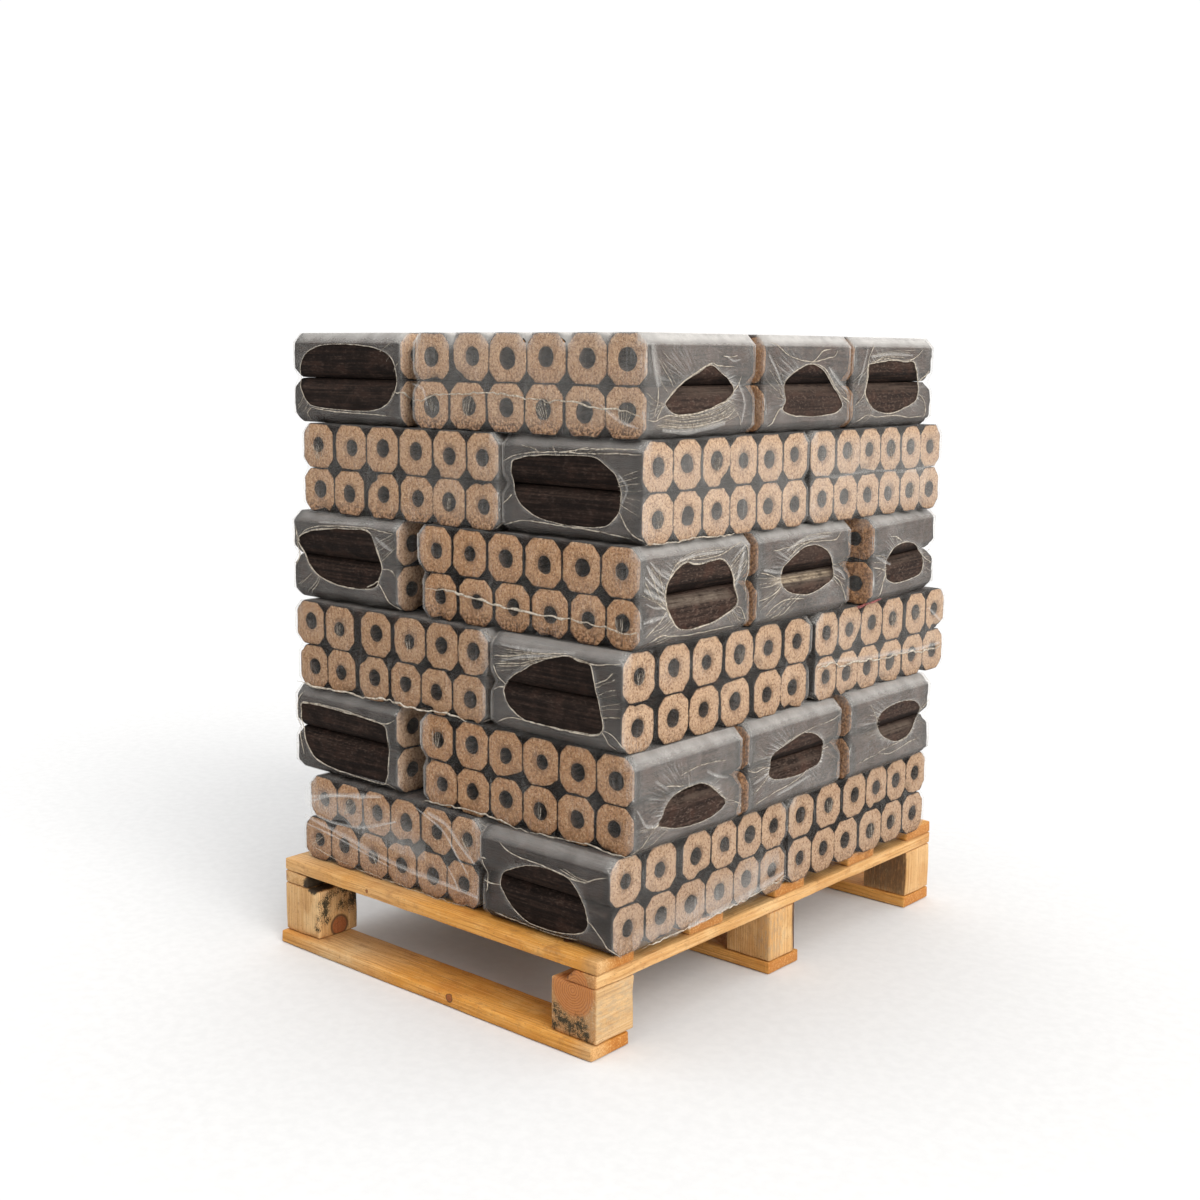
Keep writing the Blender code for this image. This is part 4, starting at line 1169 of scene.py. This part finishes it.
def opening_outline(pack, side):
    """The opening's edge on one side, as U and Z."""
    if side < 0 and "opening" in pack.facts:
        edge = closed_spline(np.array(pack.facts["opening"], float), 2.5) * MM
        return edge - (pack.trim + pack.long / 2, 0.0)
    draw = pack.random.uniform
    angles = np.linspace(0, TURN, 90, endpoint=False)
    power = draw(2.0, 3.2)
    reach = (np.abs(np.cos(angles)) ** power + np.abs(np.sin(angles)) ** power) ** (-1 / power)
    half_long = pack.long / 2 * draw(0.62, 0.84)
    half_high = pack.high / 2 * draw(0.50, 0.70)
    wobble = 1 + 0.06 * np.sin(2 * angles + draw(0, 6)) + 0.05 * np.sin(3 * angles + draw(0, 6))
    u = reach * np.cos(angles) * half_long * wobble + draw(-0.008, 0.008)
    z = reach * np.sin(angles) * half_high * wobble + pack.high / 2 + draw(-0.006, 0.006)
    return np.column_stack((u, z))


def edge_at(outline, u, z):
    """The points of the outline seen from its middle in the directions of the points U, Z."""
    middle = (outline.min(0) + outline.max(0)) / 2
    offset = outline - middle
    bearing = np.arctan2(offset[:, 1], offset[:, 0])
    order = np.argsort(bearing)
    wanted = np.arctan2(z - middle[1], u - middle[0])
    reach = np.interp(wanted, bearing[order], np.hypot(*offset.T)[order], period=TURN)
    return middle[0] + reach * np.cos(wanted), middle[1] + reach * np.sin(wanted)


def sleeve(pack):
    """Points of the film in rows round the sleeve, from one opening to the other, and how far each row is on
    its way over a side."""
    u0, z0 = sleeve_loop()
    end_u = u0 * pack.long / 2

    def side_part(side):
        """The rows over a side, from its opening to its edge."""
        level = z0 * (pack.high - 2 * CHAMFER) + CHAMFER
        rim_u, rim_z = edge_at(opening_outline(pack, side), end_u, level)
        part = []
        for across in CAP_ROWS:
            z = (1 - across) * level + across * rim_z
            w = side * (pack.reach(side, z) - pack.past_chamfer(z))
            part.append(np.column_stack(((1 - across) * end_u + across * rim_u, w, z)))
        for over in (1.0, 0.5):
            z = z0 * (pack.high - 2 * CHAMFER * over) + CHAMFER * over
            part.append(np.column_stack((end_u, side * (pack.reach(side, z) - CHAMFER * (1 - over)), z)))
        return part

    z = z0 * pack.high
    first, last = CHAMFER - pack.reach(-1, z), pack.reach(1, z) - CHAMFER
    count = FINE_ROWS if "rows" in pack.facts or pack.uppermost else COARSE_ROWS
    across = [np.column_stack((end_u, first + (last - first) * way, z)) for way in np.linspace(0, 1, count)]
    shares = [*CAP_ROWS, 0.0, 0.0]
    rows = side_part(-1) + across + side_part(1)[::-1]
    return np.array(rows), np.array(shares + [0.0] * count + shares[::-1])


def settle_film(pack, points, caps):
    """Draws the film in between the rows and columns of briquettes and wrinkles it toward the openings."""
    u, w, z = np.moveaxis(points, -1, 0)
    near_side = bell(np.maximum(0, pack.reach_at(w, z) - np.abs(w)), NEAR_SIDE)
    near_end = bell(pack.long / 2 - np.abs(u), NEAR_END)
    waist = bell(z - pack.high / 2, DIP_WIDE)
    u_in = WAIST_END * waist * near_side * near_end
    w_in = waist * near_side * (WAIST_SIDE + WAIST_SIDE_END * near_end)
    z_in = np.zeros_like(z)
    for row, level in ((0, 0.0), (1, pack.high)):
        for gap in pack.gaps(row):
            valley = bell(w - gap, DIP_WIDE)
            at_level = bell(z - level, NEAR_EDGE)
            u_in += near_end * valley * (VALLEY_END * at_level + VALLEY_MIDDLE * waist)
            z_in += valley * at_level * VALLEY_TOP * (1 if row else 0.4)
            if row and pack.uppermost:
                sloping = np.clip(1 - (pack.high - z) / EDGE_SLOPE, 0, 1)
                u_in += VALLEY_EDGE * near_end * bell(w - gap, EDGE_DIP_WIDE) * sloping
    down = np.where(z > pack.high / 2, z_in, -z_in)
    points = points - np.stack((np.sign(u) * u_in, np.sign(w) * w_in, down), axis=-1)
    along = np.roll(points, -1, axis=1) - np.roll(points, 1, axis=1)
    normal = unit(np.cross(along, np.gradient(points, axis=0)))
    outward = points - (0, 0, pack.high / 2)
    normal *= np.sign((normal * outward).sum(-1, keepdims=True))
    swell = sum(high * noise(points, size, pack.seed + n) for n, (high, size) in enumerate(SWELLS))
    bearing = np.arctan2(z - pack.high / 2, u * 0.55)
    circle = np.stack((np.cos(bearing) * 3, np.sin(bearing) * 3, np.sign(w)), axis=-1)
    pleat = noise(circle, 0.42, pack.seed + 2) + 0.6 * noise(circle, 0.2, pack.seed + 3)
    share = caps[:, None]
    swell = swell + PLEATS_HIGH * pleat * np.sqrt(share) * (1.1 - share)
    if not pack.uppermost:
        swell = np.where(np.abs(normal[..., 2]) > 0.9, swell * 0.15, swell)
    return points + normal * (FILM_OFF + swell)[..., None]


def tube(shape, path, out, radius, seed, haze, closed=False, sides=5, wobble=0.0007, red=0.0, patchy=0.5):
    """A rolled edge or crease of film: a thin uneven tube along the path, lying on the film."""
    step = np.roll(path, -1, axis=0) - np.roll(path, 1, axis=0)
    if not closed:
        step[0], step[-1] = path[1] - path[0], path[-1] - path[-2]
    beside = unit(np.cross(unit(step), out))
    path = path + beside * (wobble * noise(path, 0.007, seed))[:, None]
    size = radius * (1 + 0.6 * noise(path, 0.010, seed + 1))
    if not closed:
        way = np.linspace(0, 1, len(path))
        size = size * np.clip(np.minimum(way, 1 - way) * 9 + 0.25, 0, 1)
    turn = np.arange(sides)[None, :, None] / sides * TURN
    ring = np.cos(turn) * beside[:, None, :] * 1.25 + np.sin(turn) * out[:, None, :] * 0.8
    place = (path[:, None, :] + ring * size[:, None, None]).reshape(-1, 3)
    haze = np.repeat(haze * np.clip(0.85 + patchy * noise(path, 0.016, seed + 2), 0.25, 1.0), sides)
    faces = ring_faces(len(path), sides, closed)
    shape.add(place, faces, 1, haze=haze, cap=1.0, crimp=0.0, red=red, place=place, stretch=place)


def ribbon(shape, path, out, wide, seed, strength):
    """A flat strip of film along the path: a fold of doubled film over an end, a streak of painted sheen over
    a side.
    """
    beside = unit(np.cross(np.gradient(path, axis=0), out))
    way = np.linspace(0, 1, len(path))
    half = wide / 2 * (0.55 + 0.45 * np.sin(way * math.pi)) * (1 + 0.35 * noise(path, 0.03, seed))
    lines = []
    for k in (-1, -0.3, 0.4, 1):
        off = FOLD_OFF * (1 + noise(path + k, 0.02, seed))
        lines.append(path + beside * (half * k)[:, None] + out * off[:, None])
    place = np.stack(lines, axis=1).reshape(-1, 3)
    i = np.arange(len(path) - 1)[:, None] * 4 + np.arange(3)[None, :]
    faces = np.stack((i, i + 1, i + 5, i + 4), axis=-1).reshape(-1, 4)
    haze = np.tile(np.array((0.03, 0.16, 0.24, 0.10)) * (1.0 if wide < 0.02 else 0.5) * strength, len(path))
    shape.add(place, faces, 0, haze=haze, cap=0.5, crimp=0.1, red=0.0, place=place, stretch=place)


def add_sleeve(shape, pack):
    """The film's skin, with how hazy and how crimped it is, and the hems of its two openings."""
    points, caps = sleeve(pack)
    points = settle_film(pack, points, caps)
    rows, around = points.shape[:2]
    u, w, z = np.moveaxis(points, -1, 0)
    share = np.tile(caps[:, None], (1, around))
    from_end, from_top = pack.long / 2 - np.abs(u), pack.high - z
    reach = pack.reach_at(w, z)
    on_side = bell(np.maximum(0, reach - np.abs(w)), SIDE_ZONE)
    at_end = bell(from_end, END_ZONE) * (share <= 0)
    on_end = at_end * (1 - on_side)
    edge = bell(from_end, CORNER_ZONE) * on_side
    fog = noise(points, 0.05, pack.seed + 4)
    over_chamfer = np.clip((np.abs(w) - (reach - CHAMFER - 0.003)) / 0.004, 0, 1)
    # Up is how far a point is over an upward chamfer; the haze added there is painted sheen.
    up = np.clip((z - (pack.high - CHAMFER - 0.001)) / 0.003, 0, 1) * over_chamfer
    # The sides of the packs along Y are hazier: painted sheen.
    side_haze_and_sheen = pack.looks["side_haze_and_sheen"] * (LOWEST_SIDE_HAZE if pack.course == 1 else 1.0)
    haze = side_haze_and_sheen + 0.02 * fog - (side_haze_and_sheen - pack.facts.get("end_haze", END_HAZE)) * on_end
    # Painted shade: the film is clearer at the ends' feet and, below the uppermost course, under their upper
    # edges.
    haze = haze * (1 - CLEARER * bell(z, FOOT_ZONE) * on_end)
    if not pack.uppermost:
        under_edge = bell(from_top, UNDER_EDGE_HIGH) * bell(from_end, UNDER_EDGE_DEEP)
        haze = haze * (1 - CLEARER * under_edge * (1 - on_side))
    up_painted_sheen = pack.looks["uppermost_painted_sheen" if pack.uppermost else "up_painted_sheen"]
    # Below the uppermost course the edges over the ends are less hazy: painted shade.
    top_haze = UPPERMOST_TOP_HAZE if pack.uppermost else TOP_HAZE
    haze = haze + OPENING_HAZE * np.clip(share * 10 - 8.6, 0, 1) + up_painted_sheen * up
    haze = haze + top_haze * bell(from_top, TOP_ZONE) * (1 - on_side) + EDGE_HAZE * edge
    # Painted light: the film is whiter in its dips over the uppermost edges, as if shone through.
    if pack.uppermost:
        dips = sum(bell(w - gap, BRINK_WIDE) for gap in pack.gaps(1))
        brink = np.clip(1.1 - from_top / BRINK_HIGH, 0, 1) * bell(from_end, BRINK_DEEP) * (share <= 0)
        seen = (np.sign(u) == pack.shown_end()) & ("rows" in pack.facts)
        bright = np.where(seen, BRINK_PAINTED_LIGHT, HIDDEN_BRINK_PAINTED_LIGHT) * np.clip(0.8 + 0.9 * fog, 0.3, 1)
        haze = haze + np.clip(dips, 0, 1) * brink * bright
    side_crimp, edge_crimp, up_crimp = pack.looks["crimps"]
    crimp = END_CRIMP * at_end + side_crimp * np.sqrt(share) + edge_crimp * edge + up_crimp * up
    run = np.cumsum(np.linalg.norm(np.diff(points, axis=1, append=points[:, :1]), axis=-1), axis=1)
    perimeter = np.tile(run[np.argmin(caps)], (rows, 1))
    stretch = np.stack((perimeter, share * 0.05, np.sign(w)), axis=-1)
    shape.add(
        points, ring_faces(rows, around, False), 0, haze=haze.ravel(), cap=np.clip(share * 4, 0, 1).ravel(),
        crimp=crimp.ravel(), red=0.0, place=points.reshape(-1, 3), stretch=stretch.reshape(-1, 3))
    shown = FAINT_HEM_SHOWN if pack.course == FAINT_COURSE else HEM_SHOWN
    hem = pack.facts["rim"] * MM if "rim" in pack.facts else RIM
    for side, rim in ((-1, points[0]), (1, points[-1])):
        out = np.tile((0.0, float(side), 0.0), (around, 1))
        how_solid = shown if pack.column else ROW_HEM_SHOWN
        tube(shape, rim, out, hem, pack.seed + side, how_solid, closed=True, patchy=0.9)


def add_creases(shape, pack):
    """Creases from the openings to the corners: as given on the sides that show, by chance on the others."""
    facts, draw = pack.facts, pack.random.uniform
    strength = facts.get("fold_strength", 1.0)
    faint = FAINT if pack.course == FAINT_COURSE else 1.0
    tight = FAINT if pack.course == FAINT_COURSE and pack.column else CREASE_SHOWN
    for n, run in enumerate(facts.get("creases", ())):
        tube(shape, *pack.over_side(run, 3.0), CREASE, pack.seed + n, tight)
    for start, stop, count in facts.get("bundles", ()):
        ways = (np.arange(count) + draw(0.2, 0.8, count)) / count
        for n, way in enumerate(ways):
            run = np.array(start) * (1 - way) + np.array(stop) * way
            run[1:-1] += draw(-1.5, 1.5, (len(run) - 2, 2))
            size, shown = draw(*THIN_CREASES), draw(0.30, 0.62) * faint
            tube(shape, *pack.over_side(run, 3.0), size, pack.seed + 40 + n, shown, sides=4)
    # Streaks of painted sheen over the side, laid as soft folds.
    for n, (run, wide) in enumerate(facts.get("side_sheens", ())):
        ribbon(shape, *pack.over_side(run, 4.0), wide * MM, pack.seed + 60 + n, strength)
    if "red_edge" in facts:
        tube(shape, *pack.over_side(facts["red_edge"], 2.0), RED_EDGE, pack.seed, 1.0, red=0.9)
    middle = np.array((pack.long, pack.high)) / MM / 2
    for side in (1,) if "creases" in facts else (-1, 1):
        for n in range(4):
            toward = np.array(((n % 2) * pack.long / MM, (n // 2) * pack.high / MM)) - middle
            start, stop = middle + toward * draw(0.66, 0.72), middle + toward * draw(0.86, 0.97)
            run = (start, (start + stop) / 2 + draw(-5, 5, 2), stop)
            tube(shape, *pack.over_side(run, 3.0, side), FAR_CREASE, pack.seed + n, FAR_CREASE_SHOWN)


def add_end_marks(shape, pack):
    """Seams and folds of film over the ends."""
    facts, draw = pack.facts, pack.random.uniform
    strength = facts.get("fold_strength", 1.0)
    radius, shown = facts.get("seam_look", (SEAM / MM, 1.0))
    for n, run in enumerate(facts.get("seams", ())):
        tube(shape, *pack.over_end(run, 3.0), radius * MM, pack.seed + n, shown, wobble=0.0022)
    for n, (run, wide) in enumerate(facts.get("folds", ())):
        ribbon(shape, *pack.over_end(run, 5.0), wide * MM, pack.seed + n, strength)
    # Pleats over bores, whose white glints are painted.
    for across, level, lean, reach, count in facts.get("pleats", ()):
        for n in range(count):
            aside = (n - (count - 1) / 2) * 3.0
            bearing = math.radians(lean - aside * 2.0)
            half = np.array((math.cos(bearing), math.sin(bearing))) * reach / 2 * draw(0.6, 1.1)
            middle = np.array((across + aside, level)) + draw(-1.5, 1.5, 2)
            run = (middle - half, middle + draw(-1, 1, 2), middle + half)
            tube(shape, *pack.over_end(run, 2.5), PLEAT, pack.seed + 70 + n, draw(0.4, 0.75), sides=4)


def make_film(pack, materials):
    """The film of one pack as one piece."""
    shape = Shape()
    add_sleeve(shape, pack)
    add_creases(shape, pack)
    add_end_marks(shape, pack)
    piece = shape.make(pack.node + "_film", materials, pack.matrix)
    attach(piece, "root")


# The pallet


def timber_lines(low, high):
    """Where a timber's grid lines run along one axis, close together at its edges."""
    inner = np.linspace(low + EDGE_ROUND, high - EDGE_ROUND, max(2, int(round((high - low) / TIMBER_STEP))))
    return np.concatenate(((low, low + EDGE_ROUND * 0.35), inner, (high - EDGE_ROUND * 0.35, high)))


def box_grid(low, high):
    """Points and quads over the six faces of a box, with shared corners and edges."""
    lines = [timber_lines(low[a], high[a]) for a in range(3)]
    index, points, faces = {}, [], []

    def at(key):
        if key not in index:
            index[key] = len(points)
            points.append([lines[a][key[a]] for a in range(3)])
        return index[key]

    for axis in range(3):
        a, b = (axis + 1) % 3, (axis + 2) % 3
        for level in (0, len(lines[axis]) - 1):
            for i, j in np.ndindex(len(lines[a]) - 1, len(lines[b]) - 1):
                quad = []
                for di, dj in ((0, 0), (1, 0), (1, 1), (0, 1)):
                    key = [0, 0, 0]
                    key[axis], key[a], key[b] = level, i + di, j + dj
                    quad.append(at(tuple(key)))
                faces.append(quad if level else quad[::-1])
    return np.array(points), np.array(faces)


def spots(points, low, marks):
    """How much of a mark there is at each point: 1 in the middle of a spot, nothing past its reach."""
    amount = np.zeros(len(points))
    for *place, reach in marks:
        distance = np.linalg.norm(points - low - np.array(place) * MM, axis=1)
        amount = np.maximum(amount, np.clip(1.25 - distance / (reach * MM), 0, 1))
    return amount


def make_timber(node, facts, material):
    """One board, stringer or block: rounded, worn and uneven, with its wood's own coordinates."""
    low, high = (np.array(corner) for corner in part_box(node))
    seed = sum(map(ord, node)) % 97
    middle, half = (low + high) / 2, (high - low) / 2
    axis = facts.get("grain", 0 if "board" in node else 1)
    a, b = [k for k in range(3) if k != axis]
    points, faces = box_grid(low, high)
    inner = np.clip(points, low + EDGE_ROUND, high - EDGE_ROUND)
    away = points - inner
    length = np.linalg.norm(away, axis=1, keepdims=True)
    points = inner + unit(away) * np.minimum(length, EDGE_ROUND)
    relative = (points - middle) / half
    corner = np.clip((np.sort(np.abs(relative), axis=1)[:, 1] - 0.86) / 0.14, 0, 1)
    worn = corner * (EDGE_WORN + EDGE_WORN_VARIES * noise(points, 0.022, seed))
    worn = worn + FACE_WORN_VARIES * noise(points, 0.05, seed + 1)
    points = points - np.sign(relative) * np.abs(relative) ** 6 * np.maximum(worn, -FACE_PROUD)[:, None]
    bark = np.zeros(len(points))
    if "wane" in facts:
        (across_a, across_b), deep, *run = facts["wane"]
        toward = np.zeros(3)
        toward[a], toward[b] = across_a, across_b
        toward = unit(toward)
        along = points * (np.arange(3) == axis)
        deep = deep * (0.85 + 0.3 * noise(along, 0.07, seed + 2))
        if run:
            deep = deep * np.clip((low[axis] + run[0] - points[:, axis]) / WANE_END, 0, 1)
        excess = (points - middle) @ toward - (np.abs(toward) @ half - deep)
        bark = np.clip(excess / BARK_EDGE, 0, 1)
        rough = 1 - 0.12 * noise(points, 0.012, seed + 3)
        points = points - toward * np.maximum(excess, 0)[:, None] * rough[:, None]
    across = points[:, (a, b)] - middle[[a, b]] - facts["pith"]
    knot = np.full(points.shape, 1.0)
    for *place, size in facts.get("knots", ()):
        offset = (points - low - np.array(place) * MM) / size
        closer = np.linalg.norm(offset, axis=1) < np.linalg.norm(knot, axis=1)
        knot[closer] = offset[closer]
    kinds = ("mould", "heart", "pale", "scuffs", "hollow")
    marks = {kind: spots(points, low, facts.get(kind, ())) for kind in kinds}
    pale = marks.pop("pale")
    cut = np.clip((np.abs(relative[:, axis]) - 1) * half[axis] / CUT_DEEP + 1, 0, 1) * (1 - pale)
    shape = Shape()
    shape.add(
        points, faces, 0, grain=np.column_stack((points[:, axis] + seed, across)), knot=knot,
        tone=facts["tone"] + (PALE_TONE - facts["tone"]) * pale, bark=bark, cut=cut, **marks)
    piece = shape.make(node + "_wood", [material])
    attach(piece, "root")
    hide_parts(node)


# Camera, floor and light


def make_camera():
    """The photograph's view."""
    yaw, pitch, roll = (math.radians(a) for a in (CAMERA_YAW, CAMERA_PITCH, CAMERA_ROLL))
    forward = np.array((-math.sin(yaw) * math.cos(pitch), math.cos(yaw) * math.cos(pitch), math.sin(pitch)))
    right = unit(np.cross(forward, (0, 0, 1)))
    up = np.cross(right, forward)
    tilted_right = math.cos(roll) * right + math.sin(roll) * up
    tilted_up = -math.sin(roll) * right + math.cos(roll) * up
    data = bpy.data.cameras.new("camera")
    data.sensor_width = SENSOR
    data.lens = FOCAL_PX / PHOTO_WIDE * SENSOR
    place = Matrix.Translation(CAMERA_AT) @ facing(tilted_right, tilted_up, -forward)
    bpy.context.scene.camera = put_in_scene("camera", data, place)


def make_floor(material):
    """A wide pale floor under the pallet."""
    mesh = bpy.data.meshes.new("floor")
    corners = [(x * FLOOR_HALF, y * FLOOR_HALF, 0) for x, y in ((-1, -1), (1, -1), (1, 1), (-1, 1))]
    mesh.from_pydata(corners, [], [(0, 1, 2, 3)])
    mesh.materials.append(material)
    floor = put_in_scene("floor", mesh, Matrix.Translation((0, 0, -FLOOR_LOWER)))


def make_lamp(name, toward, angle, strength, colour):
    """A broad soft lamp."""
    data = bpy.data.lights.new(name, "SUN")
    data.angle = math.radians(angle)
    data.energy = strength * math.pi
    data.color = colour
    z = unit(np.array(toward))
    x = unit(np.cross((0, 1, 0.1), z))
    put_in_scene(name, data, facing(x, np.cross(z, x), z))


def make_world():
    """A white sky that is darker behind the camera."""
    world = bpy.data.worlds.new("studio")
    bpy.context.scene.world = world
    world.use_nodes = True
    tree = world.node_tree
    sky = tree.nodes["Background"]
    toward = tree.nodes.new("ShaderNodeTexCoord").outputs["Generated"]
    ahead = tree.nodes.new("ShaderNodeVectorMath")
    ahead.operation = "DOT_PRODUCT"
    yaw = math.radians(CAMERA_YAW)
    ahead.inputs[1].default_value = (-math.sin(yaw), math.cos(yaw), SKY_TILT)
    tree.links.new(toward, ahead.inputs[0])
    shade = tree.nodes.new("ShaderNodeMapRange")
    for name, amount in SKY_RAMP.items():
        shade.inputs[name].default_value = amount
    tree.links.new(ahead.outputs["Value"], shade.inputs["Value"])
    tree.links.new(shade.outputs[0], sky.inputs["Strength"])
    sky.inputs["Color"].default_value = (1.0, 1.0, 1.0, 1.0)
    bpy.context.scene.view_settings.view_transform = "Standard"


make_camera()
make_world()
for lamp_name, lamp in LAMPS.items():
    make_lamp(lamp_name, *lamp)
make_floor(floor_material())
timber = timber_material()
for node_name, timber_facts in TIMBERS.items():
    make_timber(node_name, timber_facts, timber)
briquette_materials = [briquette_end_material(), briquette_side_material(), briquette_bore_material()]
film_materials = [film_material(), film_edge_material()]
for node_name in sorted(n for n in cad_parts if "_pack_" in n):
    this_pack = Pack(node_name)
    make_briquettes(this_pack, briquette_materials)
    make_film(this_pack, film_materials)
